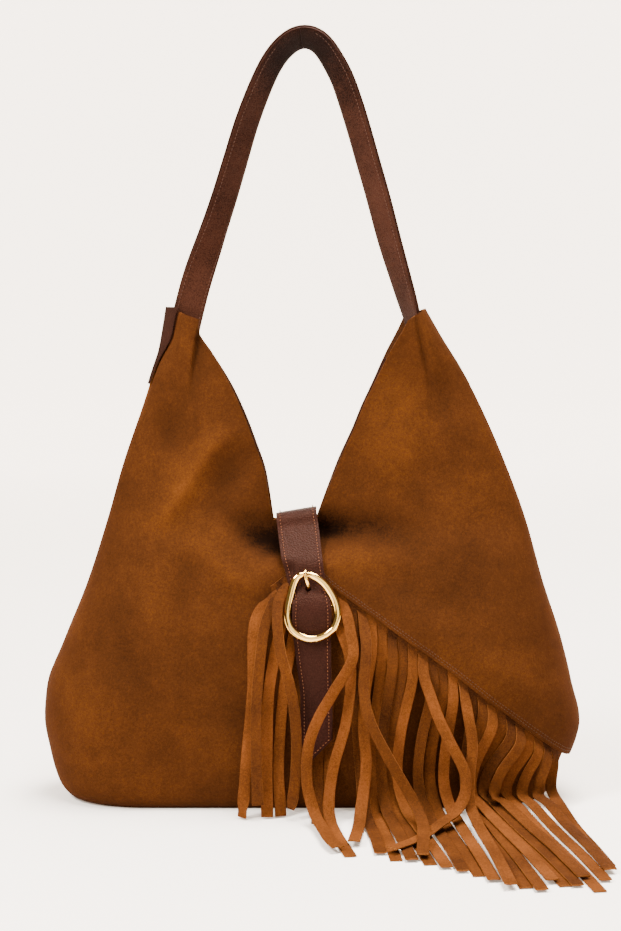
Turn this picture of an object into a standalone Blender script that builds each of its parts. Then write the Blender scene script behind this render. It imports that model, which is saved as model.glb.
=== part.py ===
"""Fringed suede shoulder bag with a leather strap, a closure strap and a metal ring buckle.

The bag stands on the floor, +Z up, its front towards -Y, origin at the centre of its base.
The shapes below are designed in millimetres for the standard bag. The driving sizes
stretch that design, and layers of suede and leather keep their true thickness.
"""
import math

import bmesh
import bpy
from mathutils import Vector

# Driving sizes, in metres
BAG_WIDTH = 0.430        # widest point of the body, across both side seams
PEAK_HEIGHT = 0.398      # floor to the top of the two peaks
STRAP_RISE = 0.218       # peaks to the top of the shoulder strap
BAG_DEPTH = 0.121        # front to back at the belly
SUEDE = 0.0014           # thickness of the suede
FRINGE_SUEDE = 0.0012    # thickness of the fringe
LEATHER = 0.0013         # thickness of one layer of smooth leather
STRAP_WIDTH = 0.0243     # width of the shoulder strap
FRINGE_WIDTH = 0.0073    # width of one strip
SLIT = 0.0008            # width of a cut at the header
GAP = 0.0004             # clear space between two layers
SEAM_CLEAR = 0.0005      # half the clear space between the two panels' cut edges
RING_TUBE = 0.0028       # half width of the ring's flattened rod
RING_NECK = 0.35         # how much thinner the rod is where the prong wraps it
BAR_RADIUS = 0.0014      # radius of the bar behind the strap
PRONG_RADIUS = 0.0008    # half thickness of the prong
HOLE_RADIUS = 0.0024     # hole in the closure strap that takes the prong

# The standard bag's sizes, which the millimetre design is drawn for
KX = BAG_WIDTH / 0.430
KY = BAG_DEPTH / 0.121
KZ = PEAK_HEIGHT / 0.398
KR = STRAP_RISE / 0.218

# Outline of the body: (height, x) along each side seam
SIDE_LEFT = [(0, -190), (2, -196), (15, -206), (40, -213), (65, -217), (90, -215), (127, -201),
             (176, -181), (225, -165), (273, -151), (322, -133), (362, -118), (392, -106)]
SIDE_RIGHT = [(0, 182), (3, 189), (15, 197), (31, 202.5), (52, 210.5), (65, 213), (89, 210),
              (127, 201), (176, 185), (225, 171), (273, 153), (322, 131), (346, 118),
              (370, 103), (394, 89)]
BACK_LEFT = SIDE_LEFT[:10] + [(322, -134), (344, -127), (362, -121), (378, -118), (396, -115)]
# Edges of the V opening: (height, x)
V_LEFT = [(227, -31), (239, -33), (263, -37), (287, -45), (311, -54), (335, -65), (358, -78),
          (378, -90), (386, -89)]
V_RIGHT = [(227, 4), (249, 12), (275, 22), (297, 32), (319, 41), (339, 51), (361, 62),
           (380, 73), (386, 76)]
V_BOTTOM = 227
# The back panel's opening lies a little to the left near the peaks: (height, shift)
BACK_SHIFT = [(227, 0), (320, 0), (350, -1.2), (386, -3)]
# The closure strap draws the front and the back together at the foot of the V
PINCH = 0.5              # share of the depth that is left there
PINCH_CENTRE = -12
PINCH_REACH = 38
STRAP_REACH = 17         # half width of the closure strap there
# Half depth of the body at each height, front and back, along both legs
FRONT_DEPTH = [(0, 46), (4, 51), (10, 55), (25, 59), (60, 62), (92, 62.5), (120, 60.5),
               (144, 57.5), (165, 53.5), (186, 48.3), (204, 42), (227, 31), (260, 23.5),
               (300, 18), (345, 12.5), (396, 8.5)]
BACK_DEPTH = [(0, 45), (4, 49), (10, 53), (25, 56), (60, 58.5), (92, 58), (130, 54),
              (165, 48), (204, 38), (227, 28), (260, 21), (300, 16), (345, 12), (396, 8.5)]
RIGHT_PEAK_EXTRA = 6.0   # the right peak is turned, so it is deeper
EDGE_ROUND = [(0, 62), (60, 95), (150, 90), (227, 70), (300, 42), (350, 22), (396, 8.5)]
# Diagonal seam of the overlay: (x, height)
SEAM = [(-46, 166), (-30, 178), (-16, 187), (-2, 190), (18, 176), (61, 146), (108, 113),
        (147, 82.5), (179, 57), (197, 43), (207, 37)]
SEAM_LAP = 8             # how far the overlay laps over the main panel

LEFT_FOLD = 3.6          # the suede's left edge stands this far forward at the left peak

# Shoulder strap: centre line (x, height) and turn of the strap about it, in degrees
STRAP_LINE = [(-105, 364), (-100, 386), (-91.6, 417), (-80.2, 449), (-69.2, 481), (-59.6, 512),
              (-50, 543), (-37.6, 574), (-28.2, 591.5), (-17.5, 603), (-6, 608), (6, 603),
              (15, 590), (23.5, 574), (34, 543), (43, 512), (52, 481), (60.5, 449),
              (70, 417), (78, 390), (84.5, 366)]
STRAP_BACK = [(0, 1.1), (0.1, 1.0), (0.22, 0), (1, 0)]
STRAP_TURN = [(0, 2), (0.08, 8), (0.2, 38), (0.35, 46), (0.5, 52), (0.65, 46), (0.8, 46),
              (0.92, 50), (1, 36)]

# Closure strap: (height, clear distance in front of the body) down the front
CLOSURE_FRONT = [(222, 6.6), (208, 7.4), (198, 7.0), (190, 6.2), (181, 6.4), (176, 8.2), (171, 11.0),
                 (165, 12.0), (158, 11.0), (150, 7.6), (141, 5.5), (130, 5.8), (112, 7.2),
                 (92, 8.8), (62, 9.8), (36, 10.2)]
CLOSURE_LEFT = [(36, -9), (92, -9), (124, -12.5), (146, -13.4), (160, -14.6), (168, -13.8),
                (177, -12.6), (188, -20), (202, -24.3), (234, -28.7)]
CLOSURE_RIGHT = [(36, 16), (62, 16), (92, 15.4), (136, 14.4), (160, 13.6), (168, 12.6), (177, 10.6),
                 (188, 9.8), (202, 7.8), (234, 3.2)]
CLOSURE_SLANT = 0.15     # the strap lies higher at its right edge over the foot of the V
TAIL_TIP = 36
TAIL_CORNER = 62

# Ring buckle: outline of the outer edge around its centre (x, up), its plane leans forward
RING_CENTRE = (0, 165.5)
RING_OUTLINE = [(22.5, -9), (20.5, 4.5), (13, 17.5), (4, 25), (-6, 27.6), (-15, 22.5), (-20, 7),
                (-22, -9), (-17.5, -20.5), (-6, -27.3), (6, -27.3), (17.5, -20.5)]
RING_LEAN = 9.0
RING_STANDOFF = 11.5
PRONG_X = -5.0
HOLE_AT = (-3.2, 13.6)

# Fringe: number of strips, how far below the seam their cuts start, rows along a strip
STRIPS = 31
CUT_DROP = 4.0
STRIP_STEPS = 18
# Tips on the floor and sideways sway of the strips that hang evenly: strip: (tip x, tip y, sway)
EVEN_STRIPS = {
    5: (-2, -118, -1), 6: (10, -122, 1), 12: (61, -190, -8), 13: (72, -193, -10),
    14: (85, -200, -12), 15: (96, -210, -14), 17: (107, -219, -13), 18: (118, -227, -12),
    19: (127, -240, -9), 21: (148, -254, -8), 22: (158, -262, -13), 23: (167, -245, -20),
    24: (176, -250, -24), 25: (184, -252, -25), 26: (190, -238, -24), 27: (198, -262, -21),
    28: (205, -240, -16), 29: (211, -222, -10), 30: (213, -203, -4)}
# Loose strips, each through its own points (x, y, height)
LOOSE_STRIPS = {
    0: [(-44.5, -64, 152), (-46, -72, 101), (-51, -77, 47), (-54, -79, 1.5)],
    1: [(-36, -66.5, 153), (-40, -75, 128), (-43, -81, 90), (-43, -84, 45), (-42, -85, 13)],
    2: [(-26.5, -64, 166), (-26.5, -75, 150), (-23, -81, 128), (-17, -82, 106), (-13.5, -82, 84),
        (-12, -82, 60), (-13, -82, 34), (-16, -83, 9)],
    3: [(-19, -57, 166), (-25, -63.5, 146), (-30, -68, 122), (-34, -72, 93), (-35, -75, 46),
        (-35, -78, 1.5)],
    4: [(-9, -54.5, 166), (-13, -58.5, 148), (-18, -63, 124), (-22, -67, 100), (-26, -70, 45),
        (-24.5, -75, 1.5)],
    7: [(21, -61, 150), (29, -71.5, 128), (30, -77, 106), (26, -81, 76), (17, -84, 44),
        (13, -88, 18), (14, -98, 4.5), (19, -130, 1.4), (28, -180, 0.6)],
    8: [(26.5, -63, 160), (29.5, -71, 147), (31, -81, 127), (16, -88, 102), (4, -90.5, 81), (-3, -92, 60),
        (-4, -93, 34), (1, -98, 12), (6, -115, 6.0), (13, -154, 5.4), (19, -171, 4.6)],
    9: [(32.5, -61.5, 142), (33, -65, 120), (34, -67.5, 90), (36, -69, 60), (38, -73, 34),
        (40, -80, 14), (43, -96, 3.5), (47, -130, 2.2), (50, -176, 2.0)],
    10: [(42, -76, 135), (40, -84, 104), (45, -91, 80), (58, -95, 54), (72, -98, 30),
         (80, -103, 15), (83, -116, 9.5), (83, -146, 9.5), (80, -190, 5.0)],
    11: [(46, -67, 128), (41, -72, 98), (40, -77, 70), (42, -81, 46), (40, -87, 26),
         (37, -99, 8), (35, -122, 5.0), (31, -156, 4.6)],
    16: [(87, -70.5, 111), (91, -77, 99), (98, -84, 80), (107, -90, 62), (117, -96, 42), (117, -101, 26),
         (110, -109, 14), (98, -122, 9), (80, -149, 5.2), (58, -176, 5.0)],
    20: [(121, -77, 82), (124, -83, 60), (122, -88, 38), (121, -98, 18), (126, -122, 7.0),
         (132, -190, 6.2), (137, -258, 4.6)]}


def smooth(pairs):
    """A curve without overshoot through (t, value) pairs."""
    ts = [float(p[0]) for p in pairs]
    vs = [float(p[1]) for p in pairs]
    rise = [(vs[i + 1] - vs[i]) / (ts[i + 1] - ts[i]) for i in range(len(ts) - 1)]
    slope = [rise[0]]
    for a, b in zip(rise, rise[1:]):
        slope.append(0.0 if a * b <= 0 else 2 * a * b / (a + b))
    slope.append(rise[-1])

    def value(t):
        t = min(max(t, ts[0]), ts[-1])
        i = 0
        while i < len(ts) - 2 and t > ts[i + 1]:
            i += 1
        h = ts[i + 1] - ts[i]
        s = (t - ts[i]) / h
        a = vs[i] * (1 + 2 * s) * (1 - s) ** 2 + slope[i] * h * s * (1 - s) ** 2
        b = vs[i + 1] * s * s * (3 - 2 * s) + slope[i + 1] * h * s * s * (s - 1)
        return a + b
    return value


def lerp(a, b, t):
    return a + (b - a) * t


def ease(t):
    t = min(max(t, 0.0), 1.0)
    return t * t * (3 - 2 * t)


side_left, side_right, back_left = smooth(SIDE_LEFT), smooth(SIDE_RIGHT), smooth(BACK_LEFT)
v_left, v_right = smooth(V_LEFT), smooth(V_RIGHT)
front_depth, back_depth, edge_round = smooth(FRONT_DEPTH), smooth(BACK_DEPTH), smooth(EDGE_ROUND)
seam_height, back_shift = smooth(SEAM), smooth(BACK_SHIFT)
closure_left, closure_right = smooth(CLOSURE_LEFT), smooth(CLOSURE_RIGHT)


def back_v_left(z):
    return v_left(z) + back_shift(z)


def back_v_right(z):
    return v_right(z) + back_shift(z)


def real(x, y, z):
    """The design's millimetres as metres of the bag with the driving sizes."""
    height = z * KZ if z < 398 else 398 * KZ + (z - 398) * KR
    return Vector((x * KX, y * KY, height)) * 0.001


def pinch(x, z):
    """Share of the body's depth that is left where the closure strap draws it together."""
    beside = math.exp(-((x - PINCH_CENTRE) / PINCH_REACH) ** 2)
    level = ease((z - 193) / 36) * (1 - ease((z - 232) / 110))
    return 1 - (1 - PINCH) * beside * level


def body_y(x, z, front=True):
    """How far the body's outer face lies from the plane of the side seams."""
    left = side_left(z) if front else back_left(z)
    reach = min(x - left, side_right(z) - x) / edge_round(z)
    reach = min(max(reach, 0.0), 1.0)
    bulge = (1 - (1 - reach) ** 2.2) ** (1 / 2.2)
    depth = front_depth(z) if front else back_depth(z)
    if x > 0:
        depth += RIGHT_PEAK_EXTRA * ease((z - 330) / 55)
    depth *= pinch(x, z)
    return -depth * bulge if front else depth * bulge


def body_point(x, z, front=True):
    point = real(x, body_y(x, z, front), z)
    if front:
        fold = LEFT_FOLD * 0.001 * ease((z - 345) / 30) if x < 0 else 0.0
        point.y = min(point.y, -SEAM_CLEAR - fold)
    else:
        point.y = max(point.y, SEAM_CLEAR)
    return point


def start_scene():
    for old in list(bpy.data.objects):
        bpy.data.objects.remove(old, do_unlink=True)
    parts = bpy.data.collections.new("fringed_suede_bag")
    tools = bpy.data.collections.new("cutters")
    bpy.context.scene.collection.children.link(parts)
    bpy.context.scene.collection.children.link(tools)
    return parts, tools


PARTS, TOOLS = start_scene()


def material(name, colour, roughness, metallic=0.0):
    mat = bpy.data.materials.new(name)
    mat.use_nodes = True
    shader = mat.node_tree.nodes["Principled BSDF"]
    shader.inputs["Base Color"].default_value = (*colour, 1.0)
    shader.inputs["Roughness"].default_value = roughness
    shader.inputs["Metallic"].default_value = metallic
    mat.diffuse_color = (*colour, 1.0)
    return mat


def add_object(name, mesh, look, collection=None):
    obj = bpy.data.objects.new(name, mesh)
    (collection or PARTS).objects.link(obj)
    if look:
        mesh.materials.append(material("look_" + name, *look))
    mesh.shade_smooth()
    mesh.set_sharp_from_angle(angle=math.radians(40))
    return obj


def thicken(obj, thickness, outward):
    """Turn the open surface into a closed sheet, grown along or against its normals."""
    mod = obj.modifiers.new("thickness", "SOLIDIFY")
    mod.thickness = thickness
    mod.offset = 1.0 if outward else -1.0
    mod.use_even_offset = True
    mod.use_quality_normals = True
    return obj


def grid_surface(name, columns, rows, place, look, keep=None, lift=None, flip=False):
    """A grid whose corner (i, j) goes to place(i, j); keep(i, j) says which cells stay."""
    bm = bmesh.new()
    bmesh.ops.create_grid(bm, x_segments=columns, y_segments=rows, size=0.5)
    index = {}
    for v in bm.verts:
        index[v] = (round((v.co.x + 0.5) * columns), round((v.co.y + 0.5) * rows))
    if keep:
        cells = []
        for face in bm.faces:
            i = min(index[v][0] for v in face.verts)
            j = min(index[v][1] for v in face.verts)
            if not keep(i, j):
                cells.append(face)
        bmesh.ops.delete(bm, geom=cells, context="FACES")
    for v in bm.verts:
        v.co = place(*index[v])
    if flip:
        bmesh.ops.reverse_faces(bm, faces=bm.faces)
    bm.normal_update()
    if lift:
        moved = {v: v.co + v.normal * lift(*index[v]) for v in bm.verts}
        for v, co in moved.items():
            v.co = co
    mesh = bpy.data.meshes.new(name)
    bm.to_mesh(mesh)
    bm.free()
    return add_object(name, mesh, look)


SUEDE_LOOK = ((0.31, 0.125, 0.035), 0.95)
FRINGE_LOOK = ((0.35, 0.145, 0.042), 0.95)
LEATHER_LOOK = ((0.075, 0.030, 0.020), 0.42)
LINING_LOOK = ((0.060, 0.024, 0.016), 0.5)
METAL_LOOK = ((0.86, 0.72, 0.46), 0.18, 1.0)


def warp(t):
    """Places columns closer together near both side seams."""
    return 0.5 - 0.5 * math.cos(math.pi * t)


# Floor part and lower block shared by the front and the back panel
BASE_SEAM = 6.0          # the seam under the base runs a little behind the middle
FLOOR_ROWS = 3
LOW_ROWS = 13
LEG_ROWS = 11


def floor_point(u, j, front):
    """Underside, from the seam along the middle of the base to its front or back edge."""
    left = side_left(0)
    right = side_right(0)
    sign = -1 if front else 1
    inner = real(lerp(left + 30, right - 30, u), BASE_SEAM * ease(4 * u * (1 - u)), 0)
    inner.y += sign * SEAM_CLEAR
    edge = body_point(lerp(left, right, u), 0, front)
    point = inner.lerp(edge, j / FLOOR_ROWS)
    point.z = 0.0
    return point


def low_row_height(v):
    """Rows sit closer together near the floor, where the panel turns under."""
    return v ** 1.35


def block_point(u, top_fraction, top_height, v, front):
    z = top_height * low_row_height(v)
    left = side_left(z) if front else back_left(z)
    fraction = lerp(u, top_fraction, v)
    x = lerp(left, side_right(z), fraction)
    return body_point(x, z, front)


# Columns of the front panel: its left leg, the strip under the V, and the part under the overlay
FRONT_LEFT_COLUMNS = 11
FRONT_MID_COLUMNS = 2
FRONT_RIGHT_COLUMNS = 15
MID_EDGE = -10.0         # where the main panel meets the overlay, below the closure strap
OVERLAY_EDGE = -2.5


def seam_x(i):
    """Corner i of the main panel's upper edge under the overlay, also used by the overlay."""
    t = i / (FRONT_RIGHT_COLUMNS - 1)
    last = 205.6
    return lerp(OVERLAY_EDGE, last, math.sin(t * math.pi / 2) ** 1.0 * 0.45 + t * 0.55)


def front_columns():
    """(fraction of the width at the floor, fraction at the top edge, height of the top edge)."""
    width = side_right(V_BOTTOM) - side_left(V_BOTTOM)
    edge = (v_left(V_BOTTOM) - side_left(V_BOTTOM)) / width
    mid = (MID_EDGE - side_left(V_BOTTOM)) / width
    columns = []
    for i in range(FRONT_LEFT_COLUMNS + 1):
        t = 1 - math.cos(0.5 * math.pi * i / FRONT_LEFT_COLUMNS)
        columns.append((t * edge * 1.02, t * edge, V_BOTTOM))
    for i in range(1, FRONT_MID_COLUMNS + 1):
        f = lerp(edge, mid, i / FRONT_MID_COLUMNS)
        columns.append((f * 1.02, f, V_BOTTOM))
    for i in range(FRONT_RIGHT_COLUMNS):
        x = seam_x(i)
        z = seam_height(x) + SEAM_LAP
        if i == FRONT_RIGHT_COLUMNS - 1:
            top = 1.0
        else:
            top = (x - side_left(z)) / (side_right(z) - side_left(z))
        t = i / (FRONT_RIGHT_COLUMNS - 1)
        bottom = lerp(mid * 1.06, 1.0, 0.6 * math.sin(t * math.pi / 2) + 0.4 * t)
        columns.append((bottom, top, z))
    return columns


def leg_point(side_curve, side_top, edge_curve, edge_top, a, t, front):
    """Point of a leg: a runs from side seam to V edge, t from the foot of the V to the top."""
    zs = lerp(V_BOTTOM, side_top, t)
    ze = lerp(V_BOTTOM, edge_top, t)
    x = lerp(side_curve(zs), edge_curve(ze), a)
    return body_point(x, lerp(zs, ze, a), front)


def make_front_panel():
    columns = front_columns()
    count = len(columns) - 1
    edge = columns[FRONT_LEFT_COLUMNS][1]

    def place(i, j):
        u, top, height = columns[i]
        if j < FLOOR_ROWS:
            return floor_point(u, j, True)
        if j <= FLOOR_ROWS + LOW_ROWS:
            return block_point(u, top, height, (j - FLOOR_ROWS) / LOW_ROWS, True)
        t = (j - FLOOR_ROWS - LOW_ROWS) / LEG_ROWS
        return leg_point(side_left, 392, v_left, 386, min(top / edge, 1.0), t, True)

    def keep(i, j):
        return j < FLOOR_ROWS + LOW_ROWS or i < FRONT_LEFT_COLUMNS

    obj = grid_surface("front_panel", count, FLOOR_ROWS + LOW_ROWS + LEG_ROWS, place,
                       SUEDE_LOOK, keep)
    return thicken(obj, SUEDE, False)


# Overlay: rows from the seam to the right peak
OVERLAY_ROWS = 17
OVERLAY_LEFT = [(0.0, OVERLAY_EDGE, 190), (0.05, OVERLAY_EDGE, 199), (0.16, OVERLAY_EDGE, 226.5),
                (0.2, 4, 228)]


def overlay_left(v):
    """Left boundary of the overlay: up to the V, then along the V's right edge."""
    for (v0, x0, z0), (v1, x1, z1) in zip(OVERLAY_LEFT, OVERLAY_LEFT[1:]):
        if v <= v1:
            t = (v - v0) / (v1 - v0)
            return lerp(x0, x1, t), lerp(z0, z1, t)
    z = lerp(228, 386, (v - 0.2) / 0.8)
    return v_right(z), z


def overlay_levels():
    levels = [0.0, 0.024, 0.05, 0.105, 0.16, 0.2]
    rest = OVERLAY_ROWS - len(levels) + 1
    return levels + [lerp(0.2, 1.0, k / rest) for k in range(1, rest + 1)]


def overlay_xz(u, v):
    """Design position on the overlay, u along the seam, v up to the peak."""
    lx, lz = overlay_left(v)
    zr = lerp(seam_height(205.6), 394, v)
    rx = side_right(zr)
    seam = lerp(OVERLAY_EDGE, 205.6, u)
    flat = lerp(190, seam_height(205.6), u)
    fade = (1 - v) ** 3
    x = lerp(lx, rx, u) + fade * (seam - lerp(OVERLAY_EDGE, side_right(seam_height(205.6)), u))
    z = lerp(lz, zr, u) + fade * (seam_height(seam) - flat)
    return x, z


def make_overlay():
    levels = overlay_levels()
    last = FRONT_RIGHT_COLUMNS - 1
    span = 205.6 - OVERLAY_EDGE

    def place(i, j):
        u = (seam_x(i) - OVERLAY_EDGE) / span
        x, z = overlay_xz(u, levels[j])
        if i == last:
            x = side_right(z)
        return body_point(x, z, True)

    over_header = FRINGE_SUEDE + 3.2 * GAP

    def lift(i, j):
        near_side = 0.0012 * ease((i / last - 0.8) / 0.15)
        return (over_header + near_side) * (1 - ease((levels[j] - 0.05) / 0.12))

    obj = grid_surface("front_overlay", last, OVERLAY_ROWS, place, SUEDE_LOOK, lift=lift)
    return thicken(obj, SUEDE, True)


BACK_LEFT_COLUMNS = 9
BACK_MID_COLUMNS = 3
BACK_RIGHT_COLUMNS = 10


def back_columns():
    left = back_left(V_BOTTOM)
    width = side_right(V_BOTTOM) - left
    a = (back_v_left(V_BOTTOM) - left) / width
    b = (back_v_right(V_BOTTOM) - left) / width
    columns = []
    for i in range(BACK_LEFT_COLUMNS + 1):
        columns.append(a * (1 - math.cos(0.5 * math.pi * i / BACK_LEFT_COLUMNS)))
    for i in range(1, BACK_MID_COLUMNS + 1):
        columns.append(lerp(a, b, i / BACK_MID_COLUMNS))
    for i in range(1, BACK_RIGHT_COLUMNS + 1):
        columns.append(lerp(b, 1.0, math.sin(0.5 * math.pi * i / BACK_RIGHT_COLUMNS)))
    return columns, a, b


def make_back_panel():
    columns, a, b = back_columns()
    right_start = BACK_LEFT_COLUMNS + BACK_MID_COLUMNS

    def place(i, j):
        f = columns[i]
        if j < FLOOR_ROWS:
            return floor_point(f, j, False)
        if j <= FLOOR_ROWS + LOW_ROWS:
            return block_point(f, f, V_BOTTOM, (j - FLOOR_ROWS) / LOW_ROWS, False)
        t = (j - FLOOR_ROWS - LOW_ROWS) / LEG_ROWS
        if i <= BACK_LEFT_COLUMNS:
            return leg_point(back_left, 396, back_v_left, 386, f / a, t, False)
        return leg_point(side_right, 394, back_v_right, 386, (1 - f) / (1 - b), t, False)

    def keep(i, j):
        low = j < FLOOR_ROWS + LOW_ROWS
        return low or i < BACK_LEFT_COLUMNS or i >= right_start

    obj = grid_surface("back_panel", len(columns) - 1, FLOOR_ROWS + LOW_ROWS + LEG_ROWS, place,
                       SUEDE_LOOK, keep, flip=True)
    return thicken(obj, SUEDE, False)


FACING_WIDTH = 17.0
FACING_START = 0.13      # clear of the closure strap at the foot of the V


def make_facing(name, curve, side_curve, side_top, front, inward, depth):
    """Leather strip that lines the inside of one V edge, below the shoulder strap's end."""
    def place(i, j):
        t = lerp(FACING_START, 0.80, j / 10)
        ze = lerp(V_BOTTOM, 386, t)
        edge = curve(ze)
        x = edge + inward * (0.4 + FACING_WIDTH * i / 3 * lerp(1, 0.55, t))
        zs = lerp(V_BOTTOM, side_top, t)
        a = (x - edge) / (side_curve(zs) - edge)
        return body_point(x, lerp(ze, zs, a), front)

    flip = (inward < 0) == front
    obj = grid_surface(name, 3, 10, place, LEATHER_LOOK,
                       lift=lambda i, j: -depth, flip=flip)
    return thicken(obj, LEATHER, False)


SLEEVE_ROWS = 4


def make_left_sleeve():
    """Leather back half of the left peak, wrapping round to the suede's front edge."""
    wrap, back, rows = 3, BACK_LEFT_COLUMNS, SLEEVE_ROWS

    def place(i, j):
        t = (LEG_ROWS - rows + j) / LEG_ROWS
        zs = lerp(V_BOTTOM, 396, t)
        if i < wrap:
            front_x = side_left(lerp(V_BOTTOM, 392, t)) - 1.5
            seam = back_left(zs)
            turn = (1 - i / wrap) * math.pi / 2
            x = lerp(seam, front_x, 1 - math.cos(turn)) if front_x > seam else seam
            return real(x, -3.2 * math.sin(turn) * ease((t - 0.66) / 0.2), zs)
        a = 1 - math.cos(0.5 * math.pi * (i - wrap) / back)
        return leg_point(back_left, 396, back_v_left, 386, a, t, False)

    obj = grid_surface("peak_sleeve_left", wrap + back, rows, place, LEATHER_LOOK,
                       lift=lambda i, j: 1.2 * GAP, flip=True)
    return thicken(obj, LEATHER, True)


def make_right_sleeve():
    rows, back = SLEEVE_ROWS, BACK_RIGHT_COLUMNS

    def place(i, j):
        t = (LEG_ROWS - rows + j) / LEG_ROWS
        a = 1 - math.sin(0.5 * math.pi * (back - i) / back)
        return leg_point(side_right, 394, back_v_right, 386, a, t, False)

    obj = grid_surface("peak_sleeve_right", back, rows, place, LEATHER_LOOK,
                       lift=lambda i, j: 1.2 * GAP)
    return thicken(obj, LEATHER, True)


def spline(points, t):
    """Smooth curve through the points, t from 0 to 1 by the number of the point."""
    n = len(points) - 1
    s = min(max(t, 0.0), 1.0) * n
    i = min(int(s), n - 1)
    f = s - i
    p1, p2 = points[i], points[i + 1]
    p0 = points[i - 1] if i > 0 else p1 * 2 - p2
    p3 = points[i + 2] if i + 2 <= n else p2 * 2 - p1
    return (p1 * 2 + (p2 - p0) * f + (p0 * 2 - p1 * 5 + p2 * 4 - p3) * f * f
            + (p1 * 3 - p0 - p2 * 3 + p3) * f ** 3) * 0.5


def even_path(points, steps):
    """Points at equal distances along the smooth curve through the given points."""
    fine = [spline(points, k / 200) for k in range(201)]
    run = [0.0]
    for a, b in zip(fine, fine[1:]):
        run.append(run[-1] + (b - a).length)
    path = []
    k = 0
    for step in range(steps + 1):
        want = run[-1] * step / steps
        while k < 199 and run[k + 1] < want:
            k += 1
        f = (want - run[k]) / max(run[k + 1] - run[k], 1e-9)
        path.append(fine[k].lerp(fine[k + 1], min(f, 1.0)))
    return path


SHOULDER_STEPS = 48


def shoulder_frames():
    """Centre, width direction and inward face direction along the shoulder strap."""
    line = [real(x, 0, z) for x, z in STRAP_LINE]
    path = even_path(line, SHOULDER_STEPS)
    set_back = smooth(STRAP_BACK)
    for k, spot in enumerate(path):
        spot.y = set_back(k / SHOULDER_STEPS) * 0.001
    turn = smooth(STRAP_TURN)
    frames = []
    for k, centre in enumerate(path):
        before, after = path[max(k - 1, 0)], path[min(k + 1, SHOULDER_STEPS)]
        along = (after - before).normalized()
        out = Vector((-along.z, 0, along.x))
        angle = math.radians(turn(k / SHOULDER_STEPS))
        toward = Vector((0, -1, 0))
        width = out * math.cos(angle) + toward * math.sin(angle)
        face = toward * math.cos(angle) - out * math.sin(angle)
        frames.append((centre, width, face))
    return frames


def make_shoulder_layer(name, start, end, offset, look, margin=0.0):
    frames = shoulder_frames()[start:end + 1]
    columns = 2

    def place(i, j):
        centre, width, face = frames[j]
        half = STRAP_WIDTH / 2 - margin
        return centre + width * lerp(-half, half, i / columns) + face * offset

    obj = grid_surface(name, columns, len(frames) - 1, place, look)
    return thicken(obj, LEATHER, True)


def closure_path():
    """Inner face of the closure strap in the side view: (y, z) from the back end to the tail."""
    edge = PINCH_CENTRE + STRAP_REACH
    back = [(back_depth(z) * pinch(edge, z) + 3.8, z) for z in (168, 186, 204, 218)]
    over = [(22, 227), (17, 231.4), (6, 231.6), (-6, 231.6), (-17, 232), (-23.4, 229)]
    front = [(-(front_depth(z) * pinch(edge, z) + clear), z) for z, clear in CLOSURE_FRONT]
    return [real(0, y, z) for y, z in back + over + front]


CLOSURE_STEPS = 50


def closure_frames():
    path = even_path(closure_path(), CLOSURE_STEPS)
    frames = []
    for k, point in enumerate(path):
        before, after = path[max(k - 1, 0)], path[min(k + 1, CLOSURE_STEPS)]
        along = (after - before).normalized()
        face = Vector((0, along.z, -along.y))
        frames.append((point, face))
    return frames


def make_closure_layer(name, offset, look, margin=0.0):
    frames = closure_frames()
    columns = 4

    def place(i, j):
        point, face = frames[j]
        z = point.z / KZ * 1000
        on_front = point.y < 0
        drawn = z if on_front else 234
        left = closure_left(drawn) + margin
        right = closure_right(drawn) - margin
        x = lerp(left, right, i / columns)
        place_at = real(x, 0, 0)
        place_at.y = point.y
        slant = CLOSURE_SLANT * ease((z - 200) / 26) * ease((12 - point.y / KY * 1000) / 20)
        place_at.z = point.z + slant * (x - PINCH_CENTRE) * 0.001
        tail = lerp(0, (TAIL_CORNER - TAIL_TIP), i / columns)
        if on_front and z < TAIL_CORNER + 34:
            # the rows near the tail lean over to make its slanted end
            near = 1 - (z - TAIL_TIP) / (TAIL_CORNER + 34 - TAIL_TIP)
            place_at.z += tail * 0.001 * KZ * near
        return place_at + face * offset

    obj = grid_surface(name, columns, CLOSURE_STEPS, place, look, flip=False)
    return thicken(obj, LEATHER, True)


def ring_point(x, up, out):
    """Point in the leaning plane of the ring, in metres from its centre."""
    lean = math.radians(RING_LEAN)
    cx, cz = RING_CENTRE
    centre = real(cx, -(front_depth(cz) + RING_STANDOFF), cz)
    return (centre + Vector((x, 0, 0)) + Vector((0, math.sin(lean), math.cos(lean))) * up
            + Vector((0, -math.cos(lean), math.sin(lean))) * out)


def ring_line(t):
    """Centre line of the ring's rod at t from 0 to 1 round the loop, and the outward side."""
    n = len(RING_OUTLINE)
    s = (t % 1.0) * n
    i = int(s)
    f = s - i
    pts = [Vector(RING_OUTLINE[(i + k) % n]).to_3d() for k in (-1, 0, 1, 2)]
    p0, p1, p2, p3 = pts
    here = (p1 * 2 + (p2 - p0) * f + (p0 * 2 - p1 * 5 + p2 * 4 - p3) * f * f
            + (p1 * 3 - p0 - p2 * 3 + p3) * f ** 3) * 0.5
    along = ((p2 - p0) + (p0 * 2 - p1 * 5 + p2 * 4 - p3) * 2 * f
             + (p1 * 3 - p0 - p2 * 3 + p3) * 3 * f * f).normalized()
    outward = Vector((along.y, -along.x, 0))
    return here * 0.001 - outward * RING_TUBE, outward


def ring_neck(spot):
    """Share of its width that the rod keeps at this spot of its centre line."""
    near = math.exp(-((spot.x * 1000 - PRONG_X) / 3.4) ** 2) if spot.y > 0 else 0.0
    return 1 - RING_NECK * near


def ring_top(x):
    """Height of the rod's centre line above the ring's centre where it passes over x."""
    spots = [ring_line(k / 2400)[0] for k in range(2400)]
    over = [spot for spot in spots if spot.y > 0]
    return min(over, key=lambda spot: abs(spot.x - x)).y


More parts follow.
